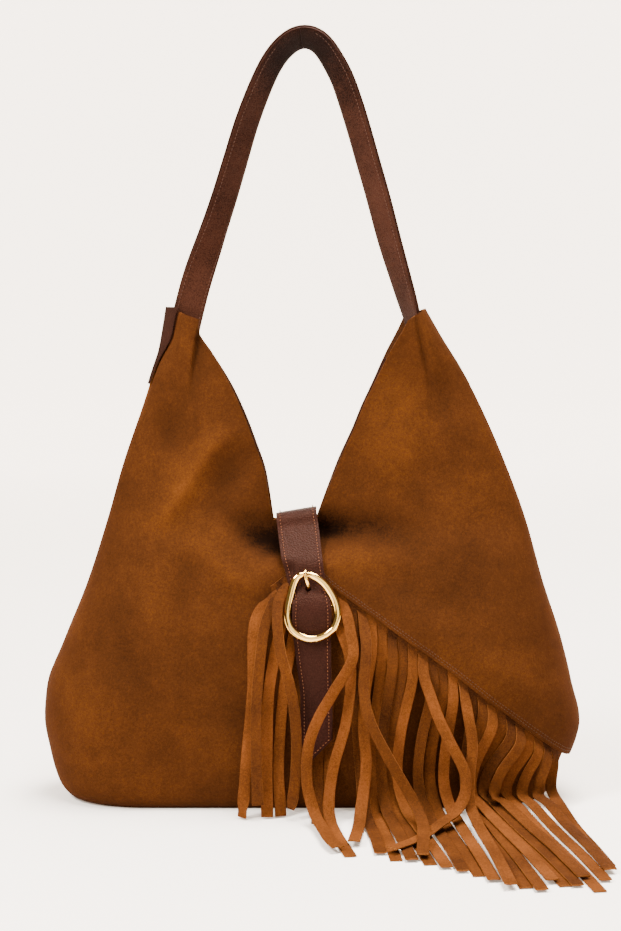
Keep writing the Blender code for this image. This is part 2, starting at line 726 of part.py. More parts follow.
def tube_mesh(name, points, radius, sides=2, flatten=None):
    """Rod along the points with closed ends, as a welded mesh."""
    curve = bpy.data.curves.new(name, "CURVE")
    curve.dimensions = "3D"
    line = curve.splines.new("POLY")
    line.points.add(len(points) - 1)
    for dot, place in zip(line.points, points):
        dot.co = (*place, 1.0)
    curve.bevel_depth = radius
    curve.bevel_resolution = sides
    curve.use_fill_caps = True
    holder = bpy.data.objects.new(name + "_line", curve)
    TOOLS.objects.link(holder)
    graph = bpy.context.evaluated_depsgraph_get()
    mesh = bpy.data.meshes.new_from_object(holder.evaluated_get(graph))
    bpy.data.objects.remove(holder, do_unlink=True)
    bm = bmesh.new()
    bm.from_mesh(mesh)
    bmesh.ops.remove_doubles(bm, verts=bm.verts, dist=0.00001)
    bmesh.ops.recalc_face_normals(bm, faces=bm.faces)
    if flatten:
        centre, direction, factor = flatten
        for v in bm.verts:
            side = (v.co - centre).dot(direction)
            v.co += direction * side * (factor - 1)
    bm.to_mesh(mesh)
    bm.free()
    return mesh


def as_tool(obj):
    obj.hide_render = True
    obj.display_type = "WIRE"
    return obj


def make_ring():
    """Egg-shaped rod from a torus, joined with the bar that runs across behind the strap."""
    bpy.ops.mesh.primitive_torus_add(major_segments=48, minor_segments=12, major_radius=1.0,
                                     minor_radius=0.25)
    ring = bpy.context.object
    ring.name = "buckle_ring"
    for holder in list(ring.users_collection):
        holder.objects.unlink(ring)
    PARTS.objects.link(ring)
    for v in ring.data.vertices:
        around = math.atan2(v.co.y, v.co.x) / (2 * math.pi)
        reach = (math.hypot(v.co.x, v.co.y) - 1.0) / 0.25
        depth = v.co.z / 0.25
        line, outward = ring_line(around)
        thick = RING_TUBE * ring_neck(line)
        spot = line + outward * reach * thick
        v.co = ring_point(spot.x, spot.y, depth * thick * 0.78)
    ring.data.materials.append(material("look_buckle_ring", *METAL_LOOK))
    ring.data.shade_smooth()
    back = -0.0026
    ends = [(-0.0192, -0.0008), (-0.0178, -0.0018), (-0.0162, back), (0, back), (0.0152, back),
            (0.018, -0.0018), (0.0196, -0.0008)]
    bar_line = [ring_point(x, 0.0, out) for x, out in ends]
    bar = add_object("bar_tool", tube_mesh("bar", bar_line, BAR_RADIUS), None, TOOLS)
    as_tool(bar)
    join = ring.modifiers.new("bar", "BOOLEAN")
    join.operation = "UNION"
    join.object = bar
    return ring


def make_prong():
    """Pin that wraps the ring's top and points down into the hole; its origin is the pivot."""
    prong_up = ring_top(PRONG_X * 0.001)
    pivot = ring_point(PRONG_X * 0.001, prong_up, 0)
    round_radius = RING_TUBE * (1 - RING_NECK) + PRONG_RADIUS + 1.6 * GAP
    spots = []
    for k in range(15):
        angle = math.radians(lerp(285, -8, k / 14))
        spots.append((round_radius * math.sin(angle), round_radius * math.cos(angle)))
    tip_up = HOLE_AT[1] * 0.001 - prong_up
    spots += [(tip_up * 0.35, 0.0034), (tip_up * 0.62, 0.0026), (tip_up * 0.86, 0.0006),
              (tip_up * 0.97, -0.0014), (tip_up * 1.0, -0.0040)]
    line = []
    for up, out in spots:
        side = (HOLE_AT[0] - PRONG_X) * 0.001 * max(0.0, up / tip_up)
        line.append(ring_point(PRONG_X * 0.001 + side, prong_up + up, out) - pivot)
    mesh = tube_mesh("prong", line, PRONG_RADIUS, 2, (Vector((0, 0, 0)), Vector((1, 0, 0)), 1.5))
    obj = add_object("buckle_prong", mesh, METAL_LOOK)
    obj.location = pivot
    return obj


def make_hole_cutter():
    start = ring_point(HOLE_AT[0] * 0.001, HOLE_AT[1] * 0.001, -0.012)
    end = ring_point(HOLE_AT[0] * 0.001, HOLE_AT[1] * 0.001, 0.012)
    cutter = add_object("hole_tool", tube_mesh("hole", [start, end], HOLE_RADIUS, 3), None, TOOLS)
    return as_tool(cutter)


def punch(obj, cutter):
    cut = obj.modifiers.new("prong_hole", "BOOLEAN")
    cut.operation = "DIFFERENCE"
    cut.object = cutter


# Fringe: header columns are strip, slit, strip, slit and so on
HEADER_ROWS = 2


def header_line():
    """Distances and points (x, height) along the seam for the fringe's header."""
    points = []
    x = SEAM[0][0]
    while x < 197.2:
        points.append(Vector((x, seam_height(x), 0)))
        x += 1.0
    run = [0.0]
    for a, b in zip(points, points[1:]):
        run.append(run[-1] + (b - a).length)
    return run, points


HEADER_RUN, HEADER_POINTS = header_line()


def along_header(distance):
    k = 0
    while k < len(HEADER_RUN) - 2 and HEADER_RUN[k + 1] < distance:
        k += 1
    f = (distance - HEADER_RUN[k]) / (HEADER_RUN[k + 1] - HEADER_RUN[k])
    a, b = HEADER_POINTS[k], HEADER_POINTS[k + 1]
    return a.lerp(b, f), (b - a).normalized()


def header_distance(i):
    pitch = (HEADER_RUN[-1] - 1.0) / STRIPS
    slit = SLIT * 1000
    return 0.5 + slit / 2 + (i // 2) * pitch + (i % 2) * (pitch - slit)


def header_place(i, j):
    """Header point; row 0 lies under the overlay, the last row is where the cuts start."""
    spot, along = along_header(header_distance(i))
    down = Vector((along.y, -along.x, 0))
    under = 5.9 if spot.x > OVERLAY_EDGE else 2.5
    if j == HEADER_ROWS:
        spot = spot + Vector((0, -CUT_DROP, 0)) * 1.0
    else:
        spot = spot - down * under * (1 - j / HEADER_ROWS)
    return body_point(spot.x, spot.y, True)


def strip_route(k):
    """Centre line of strip k from its cut at the header to its tip."""
    a = header_place(2 * k, HEADER_ROWS)
    b = header_place(2 * k + 1, HEADER_ROWS)
    top = (a + b) / 2 + Vector((0, -GAP, 0))
    if k in LOOSE_STRIPS:
        return [top] + [real(*p) for p in LOOSE_STRIPS[k]]
    tip_x, tip_y, sway = EVEN_STRIPS[k]
    x0, z0 = top.x / KX * 1000, top.z / KZ * 1000
    clear = (4.0, 6.6)[k % 2] if k < 21 else (4.0, 7.6, 11.2)[k % 3]
    if k in (5, 6):
        clear = 1.9
    lying = (0.4, 2.4)[k % 2] if k < 21 else (0.4, 2.3, 4.2)[k % 3]
    points = [top]
    for fall, part, out in ((0.17, 0.06, 0.85), (0.48, 0.75, 1.2), (0.74, 1.0, 1.5)):
        z = z0 * (1 - fall)
        x = x0 + sway * part + (tip_x - x0) * fall * 0.18
        points.append(real(x, min(body_y(x, z), -30) - clear * out, z))
    foot_y = body_y(x0, 20) if abs(x0) < 150 else -52
    foot_x = x0 + sway * 0.75 + (tip_x - x0) * 0.25
    points.append(real(foot_x, min(foot_y, -46) - 13 - clear, 7 + lying))
    points.append(real(lerp(foot_x, tip_x, 0.35), lerp(min(foot_y, -46) - 20, tip_y, 0.25), lying + 0.6))
    points.append(real(lerp(foot_x, tip_x, 0.7), lerp(min(foot_y, -46) - 20, tip_y, 0.62), lying))
    points.append(real(tip_x, tip_y, lying * 0.85))
    return points


def strip_frames(k):
    path = even_path(strip_route(k), STRIP_STEPS)
    across = (header_place(2 * k + 1, HEADER_ROWS) - header_place(2 * k, HEADER_ROWS)).normalized()
    twist = 0.0 if k in (3, 4, 5, 6) else math.radians((14, -10, 18, -8, 10)[k % 5])
    frames = []
    for j, centre in enumerate(path):
        before, after = path[max(j - 1, 0)], path[min(j + 1, STRIP_STEPS)]
        along = (after - before).normalized()
        lying = 1 - ease((centre.z * 1000 - 8) / 24)
        facing = Vector((0, -(1 - lying) - 0.02, lying + 0.02))
        width = facing.cross(along).normalized()
        angle = twist * math.sin(math.pi * min(j / STRIP_STEPS / 0.62, 1.0)) ** 2 * (1 - lying)
        width = width * math.cos(angle) + along.cross(width) * math.sin(angle)
        blend = ease(1 - j / 2.0)
        span = lerp(FRINGE_WIDTH, (HEADER_RUN[-1] - 1.0) / STRIPS * 0.001 - SLIT, blend)
        frames.append((centre, width.lerp(across, blend).normalized() * span))
    return frames


def make_fringe():
    frames = [strip_frames(k) for k in range(STRIPS)]
    columns = STRIPS * 2 - 1

    def place(i, j):
        if j <= HEADER_ROWS:
            return header_place(i, j)
        centre, width = frames[i // 2][j - HEADER_ROWS]
        side = -0.5 if i % 2 == 0 else 0.5
        return centre + width * side

    def lift(i, j):
        return 1.3 * GAP if j <= HEADER_ROWS else 1.3 * GAP * max(0.0, 1 - (j - HEADER_ROWS) / 2)

    def keep(i, j):
        return j < HEADER_ROWS or i % 2 == 0

    obj = grid_surface("fringe", columns, HEADER_ROWS + STRIP_STEPS, place, FRINGE_LOOK, keep,
                       lift=lift, flip=True)
    return thicken(obj, FRINGE_SUEDE, True)


def build():
    make_front_panel()
    make_overlay()
    make_back_panel()
    below = SUEDE + 1.2 * GAP
    make_facing("front_facing_left", v_left, side_left, 392, True, -1, below)
    make_facing("front_facing_right", v_right, side_right, 394, True, 1, 1.2 * GAP)
    make_facing("back_facing_left", back_v_left, back_left, 396, False, -1, below)
    make_facing("back_facing_right", back_v_right, side_right, 394, False, 1, below + 0.8 * GAP)
    make_left_sleeve()
    make_right_sleeve()
    half = SHOULDER_STEPS // 2
    make_shoulder_layer("shoulder_strap", 0, SHOULDER_STEPS, -LEATHER - GAP / 2, LEATHER_LOOK)
    make_shoulder_layer("shoulder_lining_left", 0, half - 1, GAP / 2, LINING_LOOK, 0.0002)
    make_shoulder_layer("shoulder_lining_right", half, SHOULDER_STEPS, GAP / 2, LINING_LOOK, 0.0002)
    cutter = make_hole_cutter()
    lining = make_closure_layer("closure_lining", 0.0, LINING_LOOK, 0.3)
    outer = make_closure_layer("closure_strap", LEATHER + GAP, LEATHER_LOOK)
    punch(lining, cutter)
    punch(outer, cutter)
    make_ring()
    make_prong()
    make_fringe()


build()
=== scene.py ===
# %% [markdown]
# # A fringed suede bag, dressed over its CAD frame
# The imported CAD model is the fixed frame: every piece below is made in the same metres, with the
# floor at z 0 and the bag's front towards -Y. The CAD solids are right in their main shapes but
# plain, so each soft piece is made again here with a finer surface, folds and a real finish.

# %% Load the frame
import math

import bmesh
import bpy
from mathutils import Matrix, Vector, noise


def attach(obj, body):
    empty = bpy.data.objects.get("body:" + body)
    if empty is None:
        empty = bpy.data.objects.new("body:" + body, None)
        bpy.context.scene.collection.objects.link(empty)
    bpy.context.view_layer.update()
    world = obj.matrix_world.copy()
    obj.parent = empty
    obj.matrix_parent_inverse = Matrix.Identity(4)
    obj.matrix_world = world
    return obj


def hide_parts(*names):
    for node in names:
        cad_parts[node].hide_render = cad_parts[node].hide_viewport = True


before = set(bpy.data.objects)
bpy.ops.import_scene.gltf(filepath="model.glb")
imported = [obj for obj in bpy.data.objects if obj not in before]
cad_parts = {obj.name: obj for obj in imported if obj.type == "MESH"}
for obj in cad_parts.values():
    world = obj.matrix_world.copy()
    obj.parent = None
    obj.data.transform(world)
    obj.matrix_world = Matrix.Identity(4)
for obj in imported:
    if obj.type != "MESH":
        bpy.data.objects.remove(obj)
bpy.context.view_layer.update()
scene = bpy.context.scene

# %% [markdown]
# ## Small tools for curves
# A bag is drawn by its outlines. `smooth` turns a few measured pairs into a curve that never
# overshoots, which a plain spline does at every corner. `even_path` walks a line in equal steps,
# so that a strap or a strip of fringe has rows of even length.

# %% Curves and blends
def smooth(pairs):
    """A curve without overshoot through (t, value) pairs."""
    ts = [float(p[0]) for p in pairs]
    vs = [float(p[1]) for p in pairs]
    rise = [(vs[i + 1] - vs[i]) / (ts[i + 1] - ts[i]) for i in range(len(ts) - 1)]
    slope = [rise[0]]
    for a, b in zip(rise, rise[1:]):
        slope.append(0.0 if a * b <= 0 else 2 * a * b / (a + b))
    slope.append(rise[-1])

    def value(t):
        t = min(max(t, ts[0]), ts[-1])
        i = 0
        while i < len(ts) - 2 and t > ts[i + 1]:
            i += 1
        h = ts[i + 1] - ts[i]
        s = (t - ts[i]) / h
        a = vs[i] * (1 + 2 * s) * (1 - s) ** 2 + slope[i] * h * s * (1 - s) ** 2
        b = vs[i + 1] * s * s * (3 - 2 * s) + slope[i + 1] * h * s * s * (s - 1)
        return a + b
    return value

def lerp(a, b, t):
    return a + (b - a) * t

def ease(t):
    t = min(max(t, 0.0), 1.0)
    return t * t * (3 - 2 * t)

def spline(points, t):
    """Smooth curve through the points, t from 0 to 1 by the number of the point."""
    n = len(points) - 1
    s = min(max(t, 0.0), 1.0) * n
    i = min(int(s), n - 1)
    f = s - i
    p1, p2 = points[i], points[i + 1]
    p0 = points[i - 1] if i > 0 else p1 * 2 - p2
    p3 = points[i + 2] if i + 2 <= n else p2 * 2 - p1
    return (p1 * 2 + (p2 - p0) * f + (p0 * 2 - p1 * 5 + p2 * 4 - p3) * f * f
            + (p1 * 3 - p0 - p2 * 3 + p3) * f ** 3) * 0.5

def even_path(points, steps):
    """Points at equal distances along the smooth curve through the given points."""
    fine = [spline(points, k / 200) for k in range(201)]
    run = [0.0]
    for a, b in zip(fine, fine[1:]):
        run.append(run[-1] + (b - a).length)
    path = []
    k = 0
    for step in range(steps + 1):
        want = run[-1] * step / steps
        while k < 199 and run[k + 1] < want:
            k += 1
        f = (want - run[k]) / max(run[k + 1] - run[k], 1e-9)
        path.append(fine[k].lerp(fine[k + 1], min(f, 1.0)))
    return path


def real(x, y, z):
    """Design millimetres as metres."""
    return Vector((x, y, z)) * 0.001


# %% [markdown]
# ## The outline of the bag
# These outlines follow those of the CAD source: the side seams, the V shaped opening, the depth of
# the body at each height and the slanting seam of the overlay. Repeating them here puts every fine
# surface where its solid is. The closure strap and the strips of the fringe are drawn a little
# wider than their solids, because they look so in the photograph.

# %% Measured outlines
# Thicknesses, widths and clearances, in metres
SUEDE = 0.0014           # thickness of the suede
FRINGE_SUEDE = 0.0012    # thickness of the fringe
LEATHER = 0.0013         # thickness of one layer of smooth leather
STRAP_WIDTH = 0.0243     # width of the shoulder strap
FRINGE_WIDTH = 0.0083    # width of one strip
SLIT = 0.0008            # width of a cut at the header
GAP = 0.0004             # clear space between two layers
SEAM_CLEAR = 0.0005      # half the clear space between the two panels' cut edges
RING_TUBE = 0.0028       # half width of the ring's flattened rod
RING_NECK = 0.35         # how much thinner the rod is where the prong wraps it
BAR_RADIUS = 0.0014      # radius of the bar behind the strap
PRONG_RADIUS = 0.0008    # half thickness of the prong
HOLE_RADIUS = 0.0024     # hole in the closure strap that takes the prong

# Outline of the body: (height, x) along each side seam
SIDE_LEFT = [(0, -190), (2, -196), (15, -206), (40, -213), (65, -217), (90, -215), (127, -201),
             (176, -181), (225, -165), (273, -151), (322, -133), (362, -118), (392, -106)]
SIDE_RIGHT = [(0, 182), (3, 189), (15, 197), (31, 202.5), (52, 210.5), (65, 213), (89, 210),
              (127, 201), (176, 185), (225, 171), (273, 153), (322, 131), (346, 118),
              (370, 103), (394, 89)]
BACK_LEFT = SIDE_LEFT[:10] + [(322, -134), (344, -127), (362, -121), (378, -118), (396, -115)]
# Edges of the V opening: (height, x)
V_LEFT = [(227, -31), (239, -33), (263, -37), (287, -45), (311, -54), (335, -65), (358, -78),
          (378, -90), (386, -89)]
V_RIGHT = [(227, 4), (249, 12), (275, 22), (297, 32), (319, 41), (339, 51), (361, 62),
           (380, 73), (386, 76)]
V_BOTTOM = 227
# The back panel's opening lies a little to the left near the peaks: (height, shift)
BACK_SHIFT = [(227, 0), (320, 0), (350, -1.2), (386, -3)]
# The closure strap draws the front and the back together at the foot of the V
PINCH = 0.5              # share of the depth that is left there
PINCH_CENTRE = -12
PINCH_REACH = 38
STRAP_REACH = 17         # half width of the closure strap there
# Half depth of the body at each height, front and back, along both legs
FRONT_DEPTH = [(0, 46), (4, 51), (10, 55), (25, 59), (60, 62), (92, 62.5), (120, 60.5),
               (144, 57.5), (165, 53.5), (186, 48.3), (204, 42), (227, 31), (260, 23.5),
               (300, 18), (345, 12.5), (396, 8.5)]
BACK_DEPTH = [(0, 45), (4, 49), (10, 53), (25, 56), (60, 58.5), (92, 58), (130, 54),
              (165, 48), (204, 38), (227, 28), (260, 21), (300, 16), (345, 12), (396, 8.5)]
RIGHT_PEAK_EXTRA = 6.0   # the right peak is turned, so it is deeper
EDGE_ROUND = [(0, 62), (60, 95), (150, 90), (227, 70), (300, 42), (350, 22), (396, 8.5)]
# Diagonal seam of the overlay: (x, height)
SEAM = [(-46, 166), (-30, 178), (-16, 187), (-2, 190), (18, 176), (61, 146), (108, 113),
        (147, 82.5), (179, 57), (197, 43), (207, 37)]
SEAM_LAP = 8             # how far the overlay laps over the main panel

LEFT_FOLD = 3.6          # the suede's left edge stands this far forward at the left peak

# Shoulder strap: centre line (x, height) and turn of the strap about it, in degrees
STRAP_LINE = [(-105, 364), (-100, 386), (-91.6, 417), (-80.2, 449), (-69.2, 481), (-59.6, 512),
              (-50, 543), (-37.6, 574), (-28.2, 591.5), (-17.5, 603), (-6, 608), (6, 603),
              (15, 590), (23.5, 574), (34, 543), (43, 512), (52, 481), (60.5, 449),
              (70, 417), (78, 390), (84.5, 366)]
STRAP_BACK = [(0, 1.1), (0.1, 1.0), (0.22, 0), (1, 0)]
STRAP_TURN = [(0, 2), (0.08, 8), (0.2, 38), (0.35, 46), (0.5, 52), (0.65, 46), (0.8, 46),
              (0.92, 56), (0.97, 64), (1, 64)]

# Closure strap: (height, clear distance in front of the body) down the front
CLOSURE_FRONT = [(222, 6.6), (208, 7.4), (198, 7.0), (190, 6.2), (181, 6.4), (176, 8.2),
                 (171, 11.0), (165, 12.0), (158, 11.0), (150, 7.6), (141, 5.5), (130, 5.8), (112, 7.2),
                 (92, 8.8), (62, 9.8), (36, 10.2)]
CLOSURE_LEFT = [(36, -9), (92, -9), (124, -12.5), (146, -15), (158, -15.6), (168, -15.2),
                (175, -16.4), (182, -19), (190, -20.8), (202, -24.3), (234, -28.7)]
CLOSURE_RIGHT = [(36, 16), (62, 16), (92, 15.4), (136, 14.8), (158, 15.2), (168, 14.4), (176, 12.2),
                 (188, 9.8), (202, 7.8), (234, 3.2)]
CLOSURE_SLANT = 0.17     # the strap lies higher at its right edge over the foot of the V
TAIL_TIP = 36
TAIL_CORNER = 62

# Ring buckle: outline of the outer edge around its centre (x, up), its plane leans forward
RING_CENTRE = (0, 165.5)
RING_OUTLINE = [(22.5, -9), (20.5, 4.5), (13, 17.5), (4, 25), (-6, 27.6), (-15, 22.5), (-20, 7),
                (-22, -9), (-17.5, -20.5), (-6, -27.3), (6, -27.3), (17.5, -20.5)]
RING_LEAN = 9.0
RING_STANDOFF = 11.5
PRONG_X = -5.0
HOLE_AT = (-3.2, 13.6)

# Fringe: number of strips, and how far below the seam their cuts start
STRIPS = 31
CUT_DROP = 4.0
# Tips on the floor and sideways sway of the strips that hang evenly: strip: (tip x, tip y, sway)
EVEN_STRIPS = {
    5: (4, -100, 4), 6: (12, -108, 5), 12: (61, -190, -8), 13: (72, -193, -10),
    14: (85, -200, -12), 15: (96, -210, -14), 17: (107, -219, -13), 18: (118, -227, -12),
    19: (127, -240, -9), 21: (148, -254, -8), 22: (158, -262, -13), 23: (167, -245, -20),
    24: (176, -250, -24), 25: (184, -252, -25), 26: (190, -238, -24), 27: (198, -262, -21),
    28: (205, -240, -16), 29: (211, -222, -10), 30: (213, -203, -4)}
# Loose strips, each through its own points (x, y, height)
LOOSE_STRIPS = {
    0: [(-44.5, -64, 152), (-46, -72, 101), (-51, -77, 47), (-54, -79, 1.5)],
    1: [(-36, -66.5, 153), (-40, -75, 128), (-43, -81, 90), (-43, -84, 45), (-42, -85, 13)],
    2: [(-26.5, -64, 166), (-26.5, -75, 150), (-23, -81, 128), (-17, -82, 106), (-13.5, -82, 84),
        (-12, -82, 60), (-13, -82, 34), (-16, -83, 9)],
    3: [(-19, -57, 166), (-25, -63.5, 146), (-30, -68, 122), (-34, -72, 93), (-35, -75, 46),
        (-35, -78, 1.5)],
    4: [(-9, -54.5, 166), (-13, -58.5, 148), (-18, -63, 124), (-22, -67, 100), (-26, -70, 45),
        (-24.5, -75, 1.5)],
    7: [(21, -61, 150), (29, -71.5, 128), (30, -77, 106), (26, -81, 76), (17, -84, 44),
        (13, -88, 18), (14, -98, 4.5), (19, -130, 1.4), (28, -180, 0.6)],
    8: [(26.5, -63, 160), (29.5, -71, 147), (31, -81, 127), (16, -88, 102), (4, -90.5, 81),
        (-3, -92, 60), (-4, -93, 34), (1, -98, 12), (6, -115, 6.0), (13, -154, 5.4), (19, -171, 4.6)],
    9: [(32.5, -61.5, 142), (33, -65, 120), (34, -67.5, 90), (36, -69, 60), (38, -73, 34),
        (40, -80, 14), (43, -96, 3.5), (47, -130, 2.2), (50, -176, 2.0)],
    10: [(42, -76, 135), (40, -84, 104), (45, -91, 80), (58, -95, 54), (72, -98, 30),
         (80, -103, 15), (83, -116, 9.5), (83, -146, 9.5), (80, -190, 5.0)],
    11: [(46, -67, 128), (41, -72, 98), (40, -77, 70), (42, -81, 46), (40, -87, 26),
         (37, -99, 8), (35, -122, 5.0), (31, -156, 4.6)],
    16: [(87, -70.5, 111), (91, -77, 99), (98, -84, 80), (107, -90, 62), (117, -96, 42),
         (117, -101, 26), (110, -109, 14), (98, -122, 9), (80, -149, 5.2), (58, -176, 5.0)],
    20: [(121, -77, 82), (124, -83, 60), (122, -88, 38), (121, -98, 18), (126, -122, 7.0),
         (132, -190, 6.2), (137, -258, 4.6)]}

side_left, side_right, back_left = smooth(SIDE_LEFT), smooth(SIDE_RIGHT), smooth(BACK_LEFT)
v_left, v_right = smooth(V_LEFT), smooth(V_RIGHT)
front_depth, back_depth, edge_round = smooth(FRONT_DEPTH), smooth(BACK_DEPTH), smooth(EDGE_ROUND)
seam_height, back_shift = smooth(SEAM), smooth(BACK_SHIFT)


def back_v_left(z):
    return v_left(z) + back_shift(z)


def back_v_right(z):
    return v_right(z) + back_shift(z)


print("outline", side_left(65), side_right(65))

# %% [markdown]
# ## Folds, tucks and dents
# Soft suede shows where it is pulled. The closure strap pinches the foot of the V, which leaves a
# deep dent on each side of it, a ridge runs down the left half, and each peak has a tuck where the
# edges are gathered round the strap. A fold is a line with a height at each point and its own
# width on either side, so that one side can be steep and the other long, as a real fold is.

# %% Folds of the front and the back
FRONT_FOLDS = [
    # tuck at the left peak: the suede to the right of the line lies deeper
    ([(-88.0, 394, -5.0), (-89.3, 380, -6.0), (-91.9, 370, -5.6), (-94.6, 350, -4.0),
      (-96.1, 334, -1.8), (-97, 316, 0)], 11, 0.8),
    # crease at the right peak
    ([(79, 396, -2.0), (84, 378, -3.2), (90.2, 351, -2.4), (96, 322, 0)], 4, 2.2),
    ([(86, 392, 0.8), (90, 378, 1.6), (98, 350, 1.2), (106, 320, 0)], 5, 6),
    # ridge across the left half, and the hollow on its right
    ([(-54, 305, 0), (-62, 298, 2.4), (-78, 288, 5.0), (-90, 272, 6.2), (-101, 252, 6.0),
      (-115, 236, 4.0), (-128, 216, 0)], 9, 10),
    ([(-46, 288, -0.5), (-58, 270, -3.4), (-70, 254, -4.6), (-78, 240, -2.8), (-90, 224, 0)], 11, 13),
    # pinched dents beside the closure strap, the left one with a crisp lower edge
    ([(-16, 203, -12), (-28.5, 205, -13.5), (-39.6, 208, -12.5), (-50, 213, -8.5),
      (-61, 224, -4.6), (-69, 234, -2.4), (-80, 250, 0)], 4.4, 19),
    ([(-4, 217, -9), (8, 216, -12), (16, 218, -12), (30, 219, -9), (48, 219, -6.4), (70, 216, -3.6),
      (100, 206, 0)], 15, 8),
    # the suede swells under the left dent
    ([(-46, 180, 1.0), (-60, 186, 2.4), (-74, 196, 3.0), (-88, 208, 1.6), (-98, 222, 0)], 9, 9),
    # long shallow valleys of the left half
    ([(-92, 210, 0), (-98, 192, -2.4), (-100, 165, -2.8), (-101, 138, -1.6), (-106, 105, 0)], 9, 12),
    ([(-150, 160, 0), (-142, 126, -2.0), (-130, 94, -1.8), (-118, 66, 0)], 12, 16),
]
FRONT_HILLS = [
    (-40, 186, 26, 10, 2.8, 8), (32, 199, 34, 8, 2.2, -6), (-114, 298, 15, 20, -5.0, -12),
    (-142, 222, 16, 26, 2.6, -20), (104, 327, 12, 20, -3.0, 15), (-150, 84, 30, 26, 2.2, 0),
    (122, 190, 34, 26, -2.6, 30), (64, 276, 20, 34, 2.4, -20), (-60, 90, 26, 40, -1.8, 0),
    (150, 120, 26, 30, 2.0, 20), (90, 150, 30, 20, 1.2, -30)]
BACK_FOLDS = [
    ([(-44, 200, -6), (-58, 206, -4), (-74, 217, -1.5), (-90, 232, 0)], 5, 13),
    ([(14, 200, -6), (30, 204, -4.5), (56, 206, -2), (84, 202, 0)], 13, 5),
    ([(-12, 160, 0), (-14, 132, 1.6), (-22, 96, 1.2), (-34, 60, 0)], 10, 12),
    ([(60, 172, 0), (72, 132, -1.8), (78, 92, -1.2), (80, 62, 0)], 10, 12),
    ([(-112, 190, 0), (-118, 150, -1.6), (-112, 104, -1.2), (-100, 70, 0)], 12, 9)]


def tone_and_painted_shade(x, z, front):
    """Tint of the suede: random tone, with a painted highlight on ridges and painted shade in hollows.
    """
    height = relief(x, z, front)
    # Random tone, less a painted contact shadow along the bottom few millimetres above the floor
    edge = 0.10 * noise.noise(Vector((x / 70, z / 90, 0.4))) - 0.5 * math.exp(-max(z, 0) / 3.5)
    # Painted shade in the hollows and dents and a painted highlight on the ridges, by the folds'
    # height
    return min(max(0.5 + edge + (0.035 if height > 0 else 0.055) * height, -0.2), 1.0)


def near_line(line, x, z):
    """Height given by the closest point of a fold's line, and the distance, + to its right."""
    best = None
    for (x0, z0, h0), (x1, z1, h1) in zip(line, line[1:]):
        dx, dz = x1 - x0, z1 - z0
        size = math.hypot(dx, dz)
        t = min(max(((x - x0) * dx + (z - z0) * dz) / (size * size), 0.0), 1.0)
        off = math.hypot(x - x0 - dx * t, z - z0 - dz * t)
        if best is None or off < best[0]:
            side = 1 if (x - x0) * dz - (z - z0) * dx > 0 else -1
            best = (off, lerp(h0, h1, ease(t) * 0.4 + t * 0.6), side)
    return best[1], best[0] * best[2]


def relief(x, z, front):
    """How far folds, dents and slack move the suede out from its plain shape."""
    total = 1.5 * noise.noise(Vector((x / 46, z / 46, 3.1 if front else 9.7)))
    total += 0.5 * noise.noise(Vector((x / 17, z / 17, 5.3 if front else 1.9)))
    for line, left, right in FRONT_FOLDS if front else BACK_FOLDS:
        height, off = near_line(line, x, z)
        total += height * math.exp(-(off / (right if off > 0 else left)) ** 2)
    if front:
        for cx, cz, rx, rz, height, turn in FRONT_HILLS:
            c, s = math.cos(math.radians(turn)), math.sin(math.radians(turn))
            u, v = ((x - cx) * c + (z - cz) * s) / rx, ((z - cz) * c - (x - cx) * s) / rz
            total += height * math.exp(-u * u - v * v)
    return total


def pinch(x, z):
    """Share of the body's depth that is left where the closure strap draws it together."""
    beside = math.exp(-((x - PINCH_CENTRE) / PINCH_REACH) ** 2)
    level = ease((z - 193) / 36) * (1 - ease((z - 232) / 110))
    return 1 - (1 - PINCH) * beside * level


def body_y(x, z, front=True, folds=True):
    """How far the body's outer face lies from the plane of the side seams."""
    left = side_left(z) if front else back_left(z)
    reach = min(x - left, side_right(z) - x) / edge_round(z)
    reach = min(max(reach, 0.0), 1.0)
    bulge = (1 - (1 - reach) ** 2.2) ** (1 / 2.2)
    depth = front_depth(z) if front else back_depth(z)
    if x > 0:
        depth += RIGHT_PEAK_EXTRA * ease((z - 330) / 55)
    out = depth * pinch(x, z) * bulge
    if folds:
        out += relief(x, z, front) * min(1.0, 1.6 * bulge) * ease(z / 26)
    return -out if front else out


def peak_shift(z):
    """How far the suede's edge at the left peak is drawn in beside the leather sleeve."""
    return 3.4 * math.exp(-((z - 371) / 13) ** 2)


def body_point(x, z, front=True):
    point = real(x, body_y(x, z, front), z)
    if front:
        point.x += 0.001 * peak_shift(z) * math.exp(-((x - side_left(z)) / 7) ** 2)
        fold = LEFT_FOLD * 0.001 * ease((z - 345) / 30) if x < 0 else 0.0
        point.y = min(point.y, -SEAM_CLEAR - fold)
    else:
        point.y = max(point.y, SEAM_CLEAR)
        dip = 3.2 * math.exp(-((x + 22) / 17) ** 2) * math.exp(-((z - V_BOTTOM) / 9) ** 2)
        point.z -= dip * 0.001
    return point


print("front at the belly", [round(c, 4) for c in body_point(0, 80)])

# %% [markdown]
# ## Shader maths in plain Python
# A material is a graph of nodes. `Wire` wraps one socket, and adding or multiplying two wires adds
# the Math node that does it, so a mask reads like the sum that it is. `Shade` holds one material
# and adds every other kind of node through one method.

# %% Wires and shades
class Wire:
    """One socket of a shader graph that can be used in sums."""

    def __init__(self, shade, socket):
        self.shade, self.socket = shade, socket

    def sum_of(self, operation, a, b):
        return self.shade.node("ShaderNodeMath", {"operation": operation}, {0: a, 1: b})

    def __add__(self, other):
        return self.sum_of("ADD", self, other)

    def __sub__(self, other):
        return self.sum_of("SUBTRACT", self, other)

    def __rsub__(self, other):
        return self.sum_of("SUBTRACT", other, self)

    def __mul__(self, other):
        return self.sum_of("MULTIPLY", self, other)

    def __pow__(self, other):
        return self.sum_of("POWER", self, other)

    __radd__, __rmul__ = __add__, __mul__


